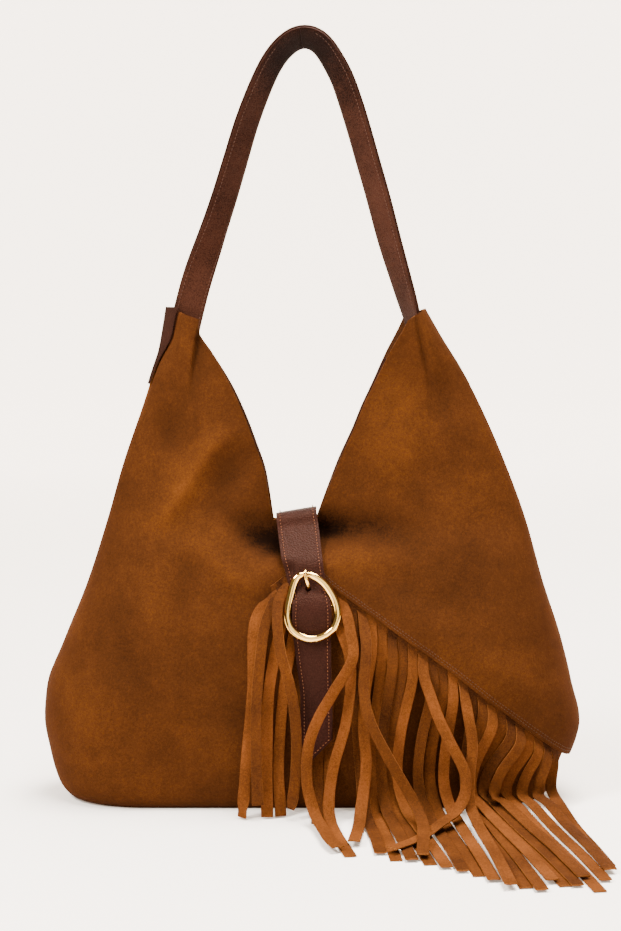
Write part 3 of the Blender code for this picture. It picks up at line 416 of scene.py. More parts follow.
class Shade:
    """One material, built node by node."""

    def __init__(self, name, **fixed):
        self.material = bpy.data.materials.new(name)
        self.material.use_nodes = True
        self.tree = self.material.node_tree
        self.surface = self.tree.nodes["Principled BSDF"]
        for socket, value in fixed.items():
            self.surface.inputs[socket.replace("_", " ")].default_value = value

    def node(self, kind, settings=None, values=None, out=0):
        """Adds a node: its settings first, then the values or wires of its sockets."""
        made = self.tree.nodes.new(kind)
        for name, value in (settings or {}).items():
            if name == "stops":
                ramp = made.color_ramp
                while len(ramp.elements) < len(value):
                    ramp.elements.new(1.0)
                for stop, (place, colour) in zip(ramp.elements, value):
                    stop.position, stop.color = place, colour
            else:
                setattr(made, name, value)
        for socket, value in (values or {}).items():
            if isinstance(value, Wire):
                self.tree.links.new(value.socket, made.inputs[socket])
            else:
                made.inputs[socket].default_value = value
        return Wire(self, made.outputs[out])

    def place(self, stretch=(1, 1, 1), turn=(0, 0, 0), source="Object"):
        """Coordinates on the piece, stretched and turned."""
        at = self.node("ShaderNodeTexCoord", out=source)
        return self.node("ShaderNodeMapping", values={"Vector": at, "Scale": stretch,
                                                      "Rotation": turn})

    def cloud(self, at, scale, detail=3.0, rough=0.55):
        return self.node("ShaderNodeTexNoise", values={"Vector": at, "Scale": scale,
                                                       "Detail": detail, "Roughness": rough})

    def spread(self, wire, low, high):
        """Stretches a pattern's middle values to the whole span from 0 to 1."""
        return self.node("ShaderNodeMapRange", {"clamp": True},
                         {"Value": wire, "From Min": low, "From Max": high})

    def mix(self, share, a, b):
        return self.node("ShaderNodeMix", {"data_type": "RGBA"},
                         {0: share, 6: a, 7: b}, out=2)

    def feed(self, **wires):
        for socket, wire in wires.items():
            self.tree.links.new(wire.socket, self.surface.inputs[socket.replace("_", " ")])
        return self.material

    def bump(self, height, depth, strength=1.0):
        return self.node("ShaderNodeBump", values={"Height": height, "Distance": depth,
                                                   "Strength": strength})


def paint(red, green, blue):
    """An sRGB colour from 0 to 255 as the linear colour that a shader wants."""
    def linear(v):
        v /= 255
        return v / 12.92 if v <= 0.04045 else ((v + 0.055) / 1.055) ** 2.4
    return (linear(red), linear(green), linear(blue), 1.0)


# %% [markdown]
# ## Suede
# Suede is the brushed flesh side of the hide. It has no shine, but its short fibres lie one way or
# another, so it is clouded with lighter and darker patches, and a fine grain covers it all. Noise
# of four sizes makes the clouds, the mottling, the brushed flecks and the grain, and a little
# sheen stands for the fibre tips that catch light at grazing angles.

# %% Suede, its inner side and its cut edge
def make_suede(name, dark, middle, light, tint=False):
    shade = Shade(name, Roughness=0.92, Specular_IOR_Level=0.02, Sheen_Weight=0.04,
                  Sheen_Roughness=0.45, Sheen_Tint=paint(222, 120, 40))
    at = shade.place()
    clouds = shade.spread(shade.cloud(at, 17, 3.5, 0.6), 0.34, 0.68)
    mottle = shade.spread(shade.cloud(at, 85, 4, 0.62), 0.32, 0.70)
    brushed = shade.spread(shade.cloud(at, 520, 2, 0.6), 0.32, 0.68)
    grain = shade.cloud(at, 1300, 2.5, 0.7)
    speck = shade.spread(grain, 0.36, 0.66)
    share = clouds * 0.26 + mottle * 0.14 + brushed * 0.24 + speck * 0.36
    # The tint attribute carries painted shade and painted highlight from the folds, besides random
    # tone
    if tint:
        share = share * 0.6 + shade.node("ShaderNodeAttribute", {"attribute_name": "tint"},
                                         out="Fac") * 0.8 - 0.2
    # The lowest stop is a painted shade colour that the darkest hollows reach
    deep = tuple(c * 0.14 for c in dark[:3]) + (1.0,)
    colour = shade.node("ShaderNodeValToRGB", {"stops": [(0.0, deep), (0.24, dark), (0.50, middle),
                                                         (0.82, light)]}, {"Fac": share})
    rough = 0.86 + speck * 0.1
    height = grain * 0.5 + mottle * 0.5
    return shade.feed(Base_Color=colour, Roughness=rough, Normal=shade.bump(height, 0.0005, 0.55))


suede = make_suede("suede", paint(38, 18, 5), paint(52, 26, 8), paint(76, 41, 14), tint=True)
fringe_suede = make_suede("fringe_suede", paint(46, 23, 8), paint(69, 36, 12),
                          paint(98, 53, 22), tint=True)
suede_inside = make_suede("suede_inside", paint(46, 25, 12), paint(60, 33, 16), paint(74, 43, 22))
suede_edge = make_suede("suede_edge", paint(76, 42, 16), paint(98, 56, 24), paint(118, 72, 34))
print("suede finishes", [m.name for m in (suede, fringe_suede, suede_inside, suede_edge)])

# %% [markdown]
# ## Leather
# The shoulder strap is smooth leather with a soft shine and faint creases. The closure strap has a
# pebbled grain: small rounded cells with thin valleys between them, which a Voronoi pattern gives.
# The cut edges are painted darker, as a maker seals them.

# %% Smooth and pebbled leather
def make_leather(name, dark, middle, light, pebbles, rough=0.42, tint=False, shine=0.16,
                 depth=0.0003):
    shade = Shade(name, Specular_IOR_Level=shine, Specular_Tint=paint(214, 150, 120))
    at = shade.place()
    clouds = shade.spread(shade.cloud(at, 26, 3, 0.6), 0.3, 0.7)
    fine = shade.cloud(at, 900, 3, 0.6)
    cells = shade.node("ShaderNodeTexVoronoi", {"feature": "SMOOTH_F1"},
                       {"Vector": shade.place(turn=(0.3, 0.2, 0.5)), "Scale": pebbles,
                        "Smoothness": 0.35, "Randomness": 1.0}, out="Distance")
    pores = shade.spread(cells, 0.15, 0.75)
    share = clouds * 0.28 + shade.spread(fine, 0.3, 0.7) * 0.32 + (1 - pores) * 0.4
    # The tint attribute brings in painted shade on pieces that carry it
    if tint:
        share = share + shade.node("ShaderNodeAttribute", {"attribute_name": "tint"},
                                   out="Fac") * 1.2 - 0.6
    colour = shade.node("ShaderNodeValToRGB", {"stops": [(0.1, dark), (0.5, middle),
                                                         (0.92, light)]}, {"Fac": share})
    height = (1 - pores) * 0.75 + fine * 0.25
    return shade.feed(Base_Color=colour, Roughness=rough + pores * 0.14 - clouds * 0.06,
                      Normal=shade.bump(height, depth, 0.7))


strap_leather = make_leather("strap_leather", paint(30, 14, 8), paint(42, 20, 12),
                             paint(56, 29, 19), 1500, 0.5)
pebbled_leather = make_leather("pebbled_leather", paint(23, 10, 7), paint(32, 15, 11),
                               paint(43, 21, 16), 800, 0.38, shine=0.12, depth=0.0005)
# The strap's inner side goes near black where its tint holds painted shade at the apex
strap_inside = make_leather("strap_inside", paint(10, 4, 3), paint(46, 25, 17),
                            paint(60, 34, 24), 1500, 0.55, True, shine=0.05)
lining_leather = make_leather("lining_leather", paint(26, 12, 8), paint(36, 18, 12),
                              paint(48, 25, 17), 1300, 0.5)
painted_edge = make_leather("painted_edge", paint(20, 9, 6), paint(28, 13, 9),
                            paint(38, 19, 13), 1500, 0.5)

# %% [markdown]
# ## Metal and thread
# The ring and its prong are polished pale gold. Nearly all of their look comes from what they
# mirror, so the material only adds faint wear in its roughness. The threads are matt yarns in
# three browns.

# %% Pale gold and thread
gold_shade = Shade("pale_gold", Metallic=1.0)
wear = gold_shade.cloud(gold_shade.place(), 420, 4, 0.65)
pale_gold = gold_shade.feed(
    Base_Color=gold_shade.mix(gold_shade.spread(wear, 0.35, 0.65), paint(246, 188, 88),
                              paint(252, 206, 118)),
    Roughness=0.07 + wear * 0.06,
    Normal=gold_shade.bump(gold_shade.cloud(gold_shade.place(), 90, 2, 0.5), 0.0003, 0.12))


def make_thread(name, dark, light):
    shade = Shade(name, Roughness=0.7, Specular_IOR_Level=0.3)
    strands = shade.spread(shade.cloud(shade.place(), 1800, 2, 0.6), 0.3, 0.7)
    return shade.feed(Base_Color=shade.mix(strands, dark, light),
                      Normal=shade.bump(strands, 0.00012, 0.4))


tan_thread = make_thread("tan_thread", paint(92, 46, 18), paint(126, 70, 32))
suede_thread = make_thread("suede_thread", paint(30, 14, 3), paint(58, 29, 8))
strap_thread = make_thread("strap_thread", paint(46, 23, 13), paint(74, 40, 23))

# %% [markdown]
# ## Making a sheet
# Every soft piece of this bag is a flat sheet that was cut, bent and sewn. So one function makes
# them all: a grid of cells whose corners are placed one by one, with the cells outside the cut
# taken away, and then a Solidify modifier for the thickness and a small Bevel on its cut edges.
# The result is baked to a plain mesh, so nothing depends on live modifiers.

# %% Grid sheets with a thickness
def plain_mesh(obj):
    """Replaces the object's mesh by its evaluated one and drops its modifiers."""
    graph = bpy.context.evaluated_depsgraph_get()
    mesh = bpy.data.meshes.new_from_object(obj.evaluated_get(graph))
    mesh.name = obj.name
    obj.modifiers.clear()
    obj.data = mesh
    return obj


def add_piece(name, mesh, looks):
    obj = bpy.data.objects.new(name, mesh)
    scene.collection.objects.link(obj)
    for look in looks:
        mesh.materials.append(look)
    return obj


def cut_sheet(name, columns, rows, place, looks, thickness, outward, keep=None, lift=None,
              flip=False, tint=None, cutter=None, edge=0.00028):
    """A sheet with its face, inner side and cut edge in three materials."""
    bm = bmesh.new()
    layer = bm.verts.layers.float.new("tint") if tint else None
    bmesh.ops.create_grid(bm, x_segments=columns, y_segments=rows, size=0.5)
    index = {v: (round((v.co.x + 0.5) * columns), round((v.co.y + 0.5) * rows)) for v in bm.verts}
    if keep:
        spare = [f for f in bm.faces if not keep(min(index[v][0] for v in f.verts),
                                                 min(index[v][1] for v in f.verts))]
        bmesh.ops.delete(bm, geom=spare, context="FACES")
    if tint:
        for v in bm.verts:
            v[layer] = tint(*index[v])
    for v in bm.verts:
        v.co = place(*index[v])
    if flip:
        bmesh.ops.reverse_faces(bm, faces=bm.faces)
    bm.normal_update()
    if lift:
        moved = {v: v.co + v.normal * lift(*index[v]) for v in bm.verts}
        for v, co in moved.items():
            v.co = co
    area = sum(f.calc_area() for f in bm.faces)
    mesh = bpy.data.meshes.new(name)
    bm.to_mesh(mesh)
    bm.free()
    obj = add_piece(name, mesh, looks)
    shell = obj.modifiers.new("thickness", "SOLIDIFY")
    shell.thickness, shell.offset = thickness, 1.0 if outward else -1.0
    shell.use_even_offset = shell.use_quality_normals = True
    shell.material_offset = 1
    shell.material_offset_rim = 2
    if cutter:
        hole = obj.modifiers.new("hole", "BOOLEAN")
        hole.operation, hole.object = "DIFFERENCE", cutter
    if edge:
        soften = obj.modifiers.new("edge", "BEVEL")
        soften.width, soften.segments = edge, 2
        soften.limit_method, soften.angle_limit = "ANGLE", math.radians(55)
    plain_mesh(obj)
    obj.data.shade_smooth()
    obj.data.set_sharp_from_angle(angle=math.radians(50))
    obj["flat_area"] = area
    print(f"{name}: {len(obj.data.polygons)} faces, {area * 1e4:.0f} cm2")
    return obj


SUEDE_SIDES = (suede, suede_inside, suede_edge)
LEATHER_SIDES = (lining_leather, lining_leather, painted_edge)
STRAP_SIDES = (strap_leather, strap_leather, painted_edge)
# The sleeves are darker than the strap, so their face takes the brown of the painted edges
SLEEVE_SIDES = (painted_edge, lining_leather, painted_edge)
INSIDE_SIDES = (strap_inside, strap_inside, painted_edge)
made = {}

# %% [markdown]
# ## Front and back panel
# The lower bag is two suede panels that meet in a seam under the base and in two side seams. Each
# panel is one sheet: a floor part, a lower block, and one or two legs that rise to the peaks.
# The columns crowd towards the seams, where the suede turns over most.

# %% Panels
BASE_SEAM = 6.0
FLOOR_ROWS, LOW_ROWS, LEG_ROWS = 8, 54, 66
FRONT_LEFT_COLUMNS, FRONT_MID_COLUMNS, FRONT_RIGHT_COLUMNS = 46, 8, 61
BACK_LEFT_COLUMNS, BACK_MID_COLUMNS, BACK_RIGHT_COLUMNS = 40, 12, 42
MID_EDGE = -10.0
OVERLAY_EDGE = -2.5


def floor_point(u, j, front):
    """Underside, from the seam along the middle of the base to its front or back edge."""
    left = side_left(0)
    right = side_right(0)
    sign = -1 if front else 1
    inner = real(lerp(left + 30, right - 30, u), BASE_SEAM * ease(4 * u * (1 - u)), 0)
    inner.y += sign * SEAM_CLEAR
    edge = body_point(lerp(left, right, u), 0, front)
    point = inner.lerp(edge, j / FLOOR_ROWS)
    point.z = 0.0
    return point


def tone_and_shade_of(place, front):
    """Tint of each corner of a sheet whose corners are placed by the given function."""
    def tint(i, j):
        spot = place(i, j) * 1000
        return tone_and_painted_shade(spot.x, spot.z, front)
    return tint


def low_row_height(v):
    """Rows sit closer together near the floor, where the panel turns under."""
    return v ** 1.35


def block_point(u, top_fraction, top_height, v, front):
    z = top_height * low_row_height(v)
    left = side_left(z) if front else back_left(z)
    fraction = lerp(u, top_fraction, v)
    x = lerp(left, side_right(z), fraction)
    return body_point(x, z, front)


SEAM_END = 205.6         # right end of the main panel's edge under the overlay


def seam_x(i):
    """Corner i of the main panel's upper edge under the overlay, also used by the overlay."""
    t = i / (FRONT_RIGHT_COLUMNS - 1)
    return lerp(OVERLAY_EDGE, SEAM_END, math.sin(t * math.pi / 2) * 0.45 + t * 0.55)


def front_columns():
    """(fraction of the width at the floor, fraction at the top edge, height of the top edge)."""
    width = side_right(V_BOTTOM) - side_left(V_BOTTOM)
    edge = (v_left(V_BOTTOM) - side_left(V_BOTTOM)) / width
    mid = (MID_EDGE - side_left(V_BOTTOM)) / width
    columns = []
    for i in range(FRONT_LEFT_COLUMNS + 1):
        t = 1 - math.cos(0.5 * math.pi * i / FRONT_LEFT_COLUMNS)
        columns.append((t * edge * 1.02, t * edge, V_BOTTOM))
    for i in range(1, FRONT_MID_COLUMNS + 1):
        f = lerp(edge, mid, i / FRONT_MID_COLUMNS)
        columns.append((f * 1.02, f, V_BOTTOM))
    for i in range(FRONT_RIGHT_COLUMNS):
        x = seam_x(i)
        z = seam_height(x) + SEAM_LAP
        if i == FRONT_RIGHT_COLUMNS - 1:
            top = 1.0
        else:
            top = (x - side_left(z)) / (side_right(z) - side_left(z))
        t = i / (FRONT_RIGHT_COLUMNS - 1)
        bottom = lerp(mid * 1.06, 1.0, 0.6 * math.sin(t * math.pi / 2) + 0.4 * t)
        columns.append((bottom, top, z))
    return columns


def leg_point(side_curve, side_top, edge_curve, edge_top, a, t, front):
    """Point of a leg: a runs from side seam to V edge, t from the foot of the V to the top."""
    zs = lerp(V_BOTTOM, side_top, t)
    ze = lerp(V_BOTTOM, edge_top, t)
    x = lerp(side_curve(zs), edge_curve(ze), a)
    return body_point(x, lerp(zs, ze, a), front)


def make_front_panel():
    columns = front_columns()
    edge = columns[FRONT_LEFT_COLUMNS][1]

    def place(i, j):
        u, top, height = columns[i]
        if j < FLOOR_ROWS:
            return floor_point(u, j, True)
        if j <= FLOOR_ROWS + LOW_ROWS:
            return block_point(u, top, height, (j - FLOOR_ROWS) / LOW_ROWS, True)
        t = (j - FLOOR_ROWS - LOW_ROWS) / LEG_ROWS
        return leg_point(side_left, 392, v_left, 386, min(top / edge, 1.0), t, True)

    def keep(i, j):
        return j < FLOOR_ROWS + LOW_ROWS or i < FRONT_LEFT_COLUMNS

    return cut_sheet("front_panel_suede", len(columns) - 1, FLOOR_ROWS + LOW_ROWS + LEG_ROWS,
                     place, SUEDE_SIDES, SUEDE, False, keep, tint=tone_and_shade_of(place, True))


def back_columns():
    left = back_left(V_BOTTOM)
    width = side_right(V_BOTTOM) - left
    a = (back_v_left(V_BOTTOM) - left) / width
    b = (back_v_right(V_BOTTOM) - left) / width
    columns = []
    for i in range(BACK_LEFT_COLUMNS + 1):
        columns.append(a * (1 - math.cos(0.5 * math.pi * i / BACK_LEFT_COLUMNS)))
    for i in range(1, BACK_MID_COLUMNS + 1):
        columns.append(lerp(a, b, i / BACK_MID_COLUMNS))
    for i in range(1, BACK_RIGHT_COLUMNS + 1):
        columns.append(lerp(b, 1.0, math.sin(0.5 * math.pi * i / BACK_RIGHT_COLUMNS)))
    return columns, a, b


def make_back_panel():
    columns, a, b = back_columns()
    right_start = BACK_LEFT_COLUMNS + BACK_MID_COLUMNS

    def place(i, j):
        f = columns[i]
        if j < FLOOR_ROWS:
            return floor_point(f, j, False)
        if j <= FLOOR_ROWS + LOW_ROWS:
            return block_point(f, f, V_BOTTOM, (j - FLOOR_ROWS) / LOW_ROWS, False)
        t = (j - FLOOR_ROWS - LOW_ROWS) / LEG_ROWS
        if i <= BACK_LEFT_COLUMNS:
            return leg_point(back_left, 396, back_v_left, 386, f / a, t, False)
        return leg_point(side_right, 394, back_v_right, 386, (1 - f) / (1 - b), t, False)

    def keep(i, j):
        low = j < FLOOR_ROWS + LOW_ROWS
        return low or i < BACK_LEFT_COLUMNS or i >= right_start

    return cut_sheet("back_panel_suede", len(columns) - 1, FLOOR_ROWS + LOW_ROWS + LEG_ROWS,
                     place, SUEDE_SIDES, SUEDE, False, keep, flip=True,
                     tint=tone_and_shade_of(place, False))


made["front_panel"], made["back_panel"] = make_front_panel(), make_back_panel()

# %% [markdown]
# ## Overlay
# The right half of the front is a second piece of suede. Its lower edge runs slanting down to the
# side seam, is turned and stitched, and covers the head of the fringe. It is lifted over the
# fringe there and comes back to the body's own surface above.

# %% Overlay
OVERLAY_LEVELS = [(0, 0.0), (5, 0.024), (9, 0.05), (16, 0.105), (22, 0.16), (26, 0.2), (82, 1.0)]
OVERLAY_ROWS = OVERLAY_LEVELS[-1][0]
overlay_level = smooth(OVERLAY_LEVELS)
OVERLAY_LEFT = [(0.0, OVERLAY_EDGE, 190), (0.05, OVERLAY_EDGE, 199), (0.16, OVERLAY_EDGE, 226.5),
                (0.2, 4, 228)]


def overlay_left(v):
    """Left boundary of the overlay: up to the V, then along the V's right edge."""
    for (v0, x0, z0), (v1, x1, z1) in zip(OVERLAY_LEFT, OVERLAY_LEFT[1:]):
        if v <= v1:
            t = (v - v0) / (v1 - v0)
            return lerp(x0, x1, t), lerp(z0, z1, t)
    z = lerp(228, 386, (v - 0.2) / 0.8)
    return v_right(z), z


def overlay_xz(u, v):
    """Design position on the overlay, u along the seam, v up to the peak."""
    lx, lz = overlay_left(v)
    zr = lerp(seam_height(205.6), 394, v)
    rx = side_right(zr)
    seam = lerp(OVERLAY_EDGE, 205.6, u)
    flat = lerp(190, seam_height(205.6), u)
    fade = (1 - v) ** 3
    x = lerp(lx, rx, u) + fade * (seam - lerp(OVERLAY_EDGE, side_right(seam_height(205.6)), u))
    z = lerp(lz, zr, u) + fade * (seam_height(seam) - flat)
    return x, z


def overlay_lift(u, v):
    """Space under the overlay for the head of the fringe."""
    near_side = 0.0012 * ease((u - 0.8) / 0.15)
    return (FRINGE_SUEDE + 3.2 * GAP + near_side) * (1 - ease((v - 0.05) / 0.12))


def make_overlay():
    last = FRONT_RIGHT_COLUMNS - 1
    span = 205.6 - OVERLAY_EDGE

    def place(i, j):
        u = (seam_x(i) - OVERLAY_EDGE) / span
        x, z = overlay_xz(u, overlay_level(j))
        if i == last:
            x = side_right(z)
        return body_point(x, z, True)

    return cut_sheet("front_overlay_suede", last, OVERLAY_ROWS, place,
                     SUEDE_SIDES, SUEDE, True,
                     lift=lambda i, j: overlay_lift(i / last, overlay_level(j)),
                     tint=tone_and_shade_of(place, True), edge=0.0005)


made["front_overlay"] = make_overlay()

# %% [markdown]
# ## Facings and sleeves
# Dark leather lines the inside of each V edge, and covers the back half of each peak like a
# sleeve. Both are thin sheets that follow the panel that they are sewn to, one layer lower or
# higher.

# %% Facings and sleeves
FACING_WIDTH = 17.0
FACING_START = 0.13
FACING_STEPS = 60


def make_facing(name, curve, side_curve, side_top, front, inward, depth):
    def place(i, j):
        t = lerp(FACING_START, 0.80, j / FACING_STEPS)
        ze = lerp(V_BOTTOM, 386, t)
        edge = curve(ze)
        x = edge + inward * (0.4 + FACING_WIDTH * i / 9 * lerp(1, 0.55, t))
        a = (x - edge) / (side_curve(lerp(V_BOTTOM, side_top, t)) - edge)
        return body_point(x, lerp(ze, lerp(V_BOTTOM, side_top, t), a), front)

    return cut_sheet(name + "_leather", 9, FACING_STEPS, place, LEATHER_SIDES, LEATHER, False,
                     lift=lambda i, j: -depth, flip=(inward < 0) == front)


SLEEVE_ROWS = 24


def make_left_sleeve():
    """Leather back half of the left peak, wrapping round to the suede's front edge."""
    wrap, back = 14, BACK_LEFT_COLUMNS
    leg_rows = 66

    def place(i, j):
        t = (leg_rows - SLEEVE_ROWS + j) / leg_rows
        zs = lerp(V_BOTTOM, 396, t)
        if i < wrap:
            front_x = side_left(lerp(V_BOTTOM, 392, t)) - 0.3 + peak_shift(zs)
            seam = back_left(zs)
            turn = (1 - i / wrap) * math.pi / 2
            x = lerp(seam, front_x, 1 - math.cos(turn)) if front_x > seam else seam
            return real(x, -2.5 * math.sin(turn) * ease((t - 0.66) / 0.2), zs)
        a = 1 - math.cos(0.5 * math.pi * (i - wrap) / back)
        return leg_point(back_left, 396, back_v_left, 386, a, t, False)

    return cut_sheet("peak_sleeve_left_leather", wrap + back, SLEEVE_ROWS, place,
                     SLEEVE_SIDES, LEATHER, True, lift=lambda i, j: 1.2 * GAP, flip=True)


def make_right_sleeve():
    back = BACK_RIGHT_COLUMNS
    leg_rows = 66

    def place(i, j):
        t = (leg_rows - SLEEVE_ROWS + j) / leg_rows
        a = 1 - math.sin(0.5 * math.pi * (back - i) / back)
        return leg_point(side_right, 394, back_v_right, 386, a, t, False)

    return cut_sheet("peak_sleeve_right_leather", back, SLEEVE_ROWS, place, STRAP_SIDES, LEATHER,
                     True, lift=lambda i, j: 1.2 * GAP)


below = SUEDE + 1.2 * GAP
for side, curve, side_curve, top, front, inward, depth in (
        ("front_facing_left", v_left, side_left, 392, True, -1, below),
        ("front_facing_right", v_right, side_right, 394, True, 1, 1.2 * GAP),
        ("back_facing_left", back_v_left, back_left, 396, False, -1, below),
        ("back_facing_right", back_v_right, side_right, 394, False, 1, below + 0.8 * GAP)):
    made[side] = make_facing(side, curve, side_curve, top, front, inward, depth)
made["peak_sleeve_left"], made["peak_sleeve_right"] = make_left_sleeve(), make_right_sleeve()

# %% [markdown]
# ## Shoulder strap
# The strap is two layers of smooth leather sewn back to back. It turns on its way over the top, so
# that its inner side shows towards the front. Its lining is in two lengths that meet under the
# apex. A row of frames, each with a centre, a width direction and a face direction, carries it.

# %% Shoulder strap
SHOULDER_STEPS = 192
STRAP_SMOOTHING = 3      # rows on each side that the strap's line is evened out over


def shoulder_frames():
    """Centre, width direction and inward face direction along the shoulder strap."""
    line = [real(x, 0, z) for x, z in STRAP_LINE]
    rough_path = even_path(line, SHOULDER_STEPS)
    path = []
    for k in range(SHOULDER_STEPS + 1):
        reach = min(STRAP_SMOOTHING, k, SHOULDER_STEPS - k)
        near = rough_path[k - reach:k + reach + 1]
        path.append(sum(near, Vector()) / len(near))
    set_back = smooth(STRAP_BACK)
    for k, spot in enumerate(path):
        spot.y = set_back(k / SHOULDER_STEPS) * 0.001
    turn = smooth(STRAP_TURN)
    frames = []
    for k, centre in enumerate(path):
        before, after = path[max(k - 1, 0)], path[min(k + 1, SHOULDER_STEPS)]
        along = (after - before).normalized()
        out = Vector((-along.z, 0, along.x))
        angle = math.radians(turn(k / SHOULDER_STEPS))
        toward = Vector((0, -1, 0))
        width = out * math.cos(angle) + toward * math.sin(angle)
        face = toward * math.cos(angle) - out * math.sin(angle)
        frames.append((centre, width, face))
    return frames


def make_shoulder_layer(name, start, end, offset, looks, margin=0.0, crown=0.0):
    frames = shoulder_frames()[start:end + 1]

    # Painted shade: the inner side darkens towards the apex, where it faces down, a little less at one
    # edge
    def tint(i, j):
        from_top = (start + j - SHOULDER_STEPS / 2) / 17
        return 0.5 - 0.5 * math.exp(-from_top * from_top) * (1 - 0.4 * (i / 10) ** 2)

    def place(i, j):
        centre, width, face = frames[j]
        f = 2 * i / 10 - 1
        pillow = crown * (1 - abs(f) ** 5)
        return centre + width * f * (STRAP_WIDTH / 2 - margin) + face * (offset + pillow)

    return cut_sheet(name, 10, len(frames) - 1, place, looks, LEATHER, True, tint=tint)


half = SHOULDER_STEPS // 2
made["shoulder_strap"] = make_shoulder_layer("shoulder_strap_leather", 0, SHOULDER_STEPS,
                                             -LEATHER - GAP / 2,
                                             (strap_inside, strap_leather, painted_edge))
made["shoulder_lining_left"] = make_shoulder_layer("shoulder_lining_left_leather", 0, half,
                                                   GAP / 2, INSIDE_SIDES, 0.0002, 0.00025)
made["shoulder_lining_right"] = make_shoulder_layer("shoulder_lining_right_leather", half,
                                                    SHOULDER_STEPS, GAP / 2, INSIDE_SIDES,
                                                    0.0002, 0.00025)

# %% [markdown]
# ## Closure strap
# The closure strap starts on the back, passes over the foot of the V and hangs down the front to a
# slanted tail. It goes through the ring in front of the ring's bar, so it bulges forward inside
# the ring and is narrowed there. The hole for the prong is cut with a Boolean modifier.

# %% Ring plane and closure strap
closure_left, closure_right = smooth(CLOSURE_LEFT), smooth(CLOSURE_RIGHT)
CLOSURE_STEPS = 200


def closure_path():
    """Inner face of the closure strap in the side view: (y, z) from the back end to the tail."""
    edge = PINCH_CENTRE + STRAP_REACH
    back = [(back_depth(z) * pinch(edge, z) + 3.8, z) for z in (168, 186, 204, 218)]
    over = [(21, 225.5), (16.5, 228.8), (6, 230.4), (-6, 231.8), (-17, 233.6), (-23.4, 230.4)]
    front = [(-(front_depth(z) * pinch(edge, z) + clear), z) for z, clear in CLOSURE_FRONT]
    return [real(0, y, z) for y, z in back + over + front]


def closure_frames():
    path = even_path(closure_path(), CLOSURE_STEPS)
    frames = []
    for k, point in enumerate(path):
        before, after = path[max(k - 1, 0)], path[min(k + 1, CLOSURE_STEPS)]
        along = (after - before).normalized()
        frames.append((point, Vector((0, along.z, -along.y))))
    return frames


CLOSURE_FRAMES = closure_frames()


def closure_spot(row, f, offset, margin=0.0, crown=0.0):
    """Point on the closure strap: row along it, f from 0 to 1 across it."""
    k = min(int(row), CLOSURE_STEPS - 1)
    point = CLOSURE_FRAMES[k][0].lerp(CLOSURE_FRAMES[k + 1][0], row - k)
    face = CLOSURE_FRAMES[k][1].lerp(CLOSURE_FRAMES[k + 1][1], row - k).normalized()
    z = point.z * 1000
    on_front = point.y < 0
    drawn = z if on_front else 234
    x = lerp(closure_left(drawn) + margin, closure_right(drawn) - margin, f)
    slant = CLOSURE_SLANT * ease((z - 200) / 26)
    tuck = 3.2 * ease((-12 - x) / 3) * ease((z - 168) / 5) * (1 - ease((z - 190) / 10))
    tuck = tuck if on_front else 0.0
    spot = Vector((x, point.y * 1000 + tuck, z + slant * (x - PINCH_CENTRE))) * 0.001
    if on_front and z < TAIL_CORNER + 34:
        near = 1 - (z - TAIL_TIP) / (TAIL_CORNER + 34 - TAIL_TIP)
        spot.z += (TAIL_CORNER - TAIL_TIP) * f * 0.001 * near
    return spot + face * (offset + crown * (1 - abs(2 * f - 1) ** 4))


def make_closure_layer(name, offset, looks, margin, crown, cutter):
    return cut_sheet(name, 24, CLOSURE_STEPS,
                     lambda i, j: closure_spot(j, i / 24, offset, margin, crown), looks, LEATHER,
                     True, cutter=cutter)


def ring_point(x, up, out):
    """Point in the leaning plane of the ring, in metres from its centre."""
    lean = math.radians(RING_LEAN)
    cx, cz = RING_CENTRE
    centre = real(cx, -(front_depth(cz) + RING_STANDOFF), cz)
    return (centre + Vector((x, 0, 0)) + Vector((0, math.sin(lean), math.cos(lean))) * up
            + Vector((0, -math.cos(lean), math.sin(lean))) * out)


def rod_mesh(name, points, radius, sides, flatten=1.0):
    """Rod along the points with closed ends, flattened sideways if asked."""
    curve = bpy.data.curves.new(name, "CURVE")
    curve.dimensions = "3D"
    line = curve.splines.new("POLY")
    line.points.add(len(points) - 1)
    for dot, spot in zip(line.points, points):
        dot.co = (*spot, 1.0)
    curve.bevel_depth, curve.bevel_resolution, curve.use_fill_caps = radius, sides, True
    holder = bpy.data.objects.new(name, curve)
    scene.collection.objects.link(holder)
    graph = bpy.context.evaluated_depsgraph_get()
    mesh = bpy.data.meshes.new_from_object(holder.evaluated_get(graph))
    bpy.data.objects.remove(holder, do_unlink=True)
    bm = bmesh.new()
    bm.from_mesh(mesh)
    bmesh.ops.remove_doubles(bm, verts=bm.verts, dist=0.00001)
    bmesh.ops.recalc_face_normals(bm, faces=bm.faces)
    if flatten != 1.0:
        middle = sum((v.co.x for v in bm.verts), 0.0) / len(bm.verts)
        for v in bm.verts:
            v.co.x = middle + (v.co.x - middle) * flatten
    bm.to_mesh(mesh)
    bm.free()
    return mesh


hole_line = [ring_point(HOLE_AT[0] * 0.001, HOLE_AT[1] * 0.001, out) for out in (-0.012, 0.012)]
punch = add_piece("hole_punch", rod_mesh("hole_punch", hole_line, HOLE_RADIUS, 6), ())
made["closure_lining"] = make_closure_layer("closure_lining_leather", 0.0, LEATHER_SIDES, 0.3, 0,
                                            punch)
made["closure_strap"] = make_closure_layer("closure_strap_leather", LEATHER + GAP,
                                           (pebbled_leather, pebbled_leather, painted_edge), 0,
                                           0.0003, punch)
bpy.data.objects.remove(punch, do_unlink=True)

# %% [markdown]
# ## Ring and prong
# The ring is one rod bent to an egg shape, with a thinner bar across it behind the strap. A torus
# primitive is moved point by point onto that outline, and the bar is joined with a Boolean union.
# The prong is a flat pin that wraps the top of the ring and ends in the hole.

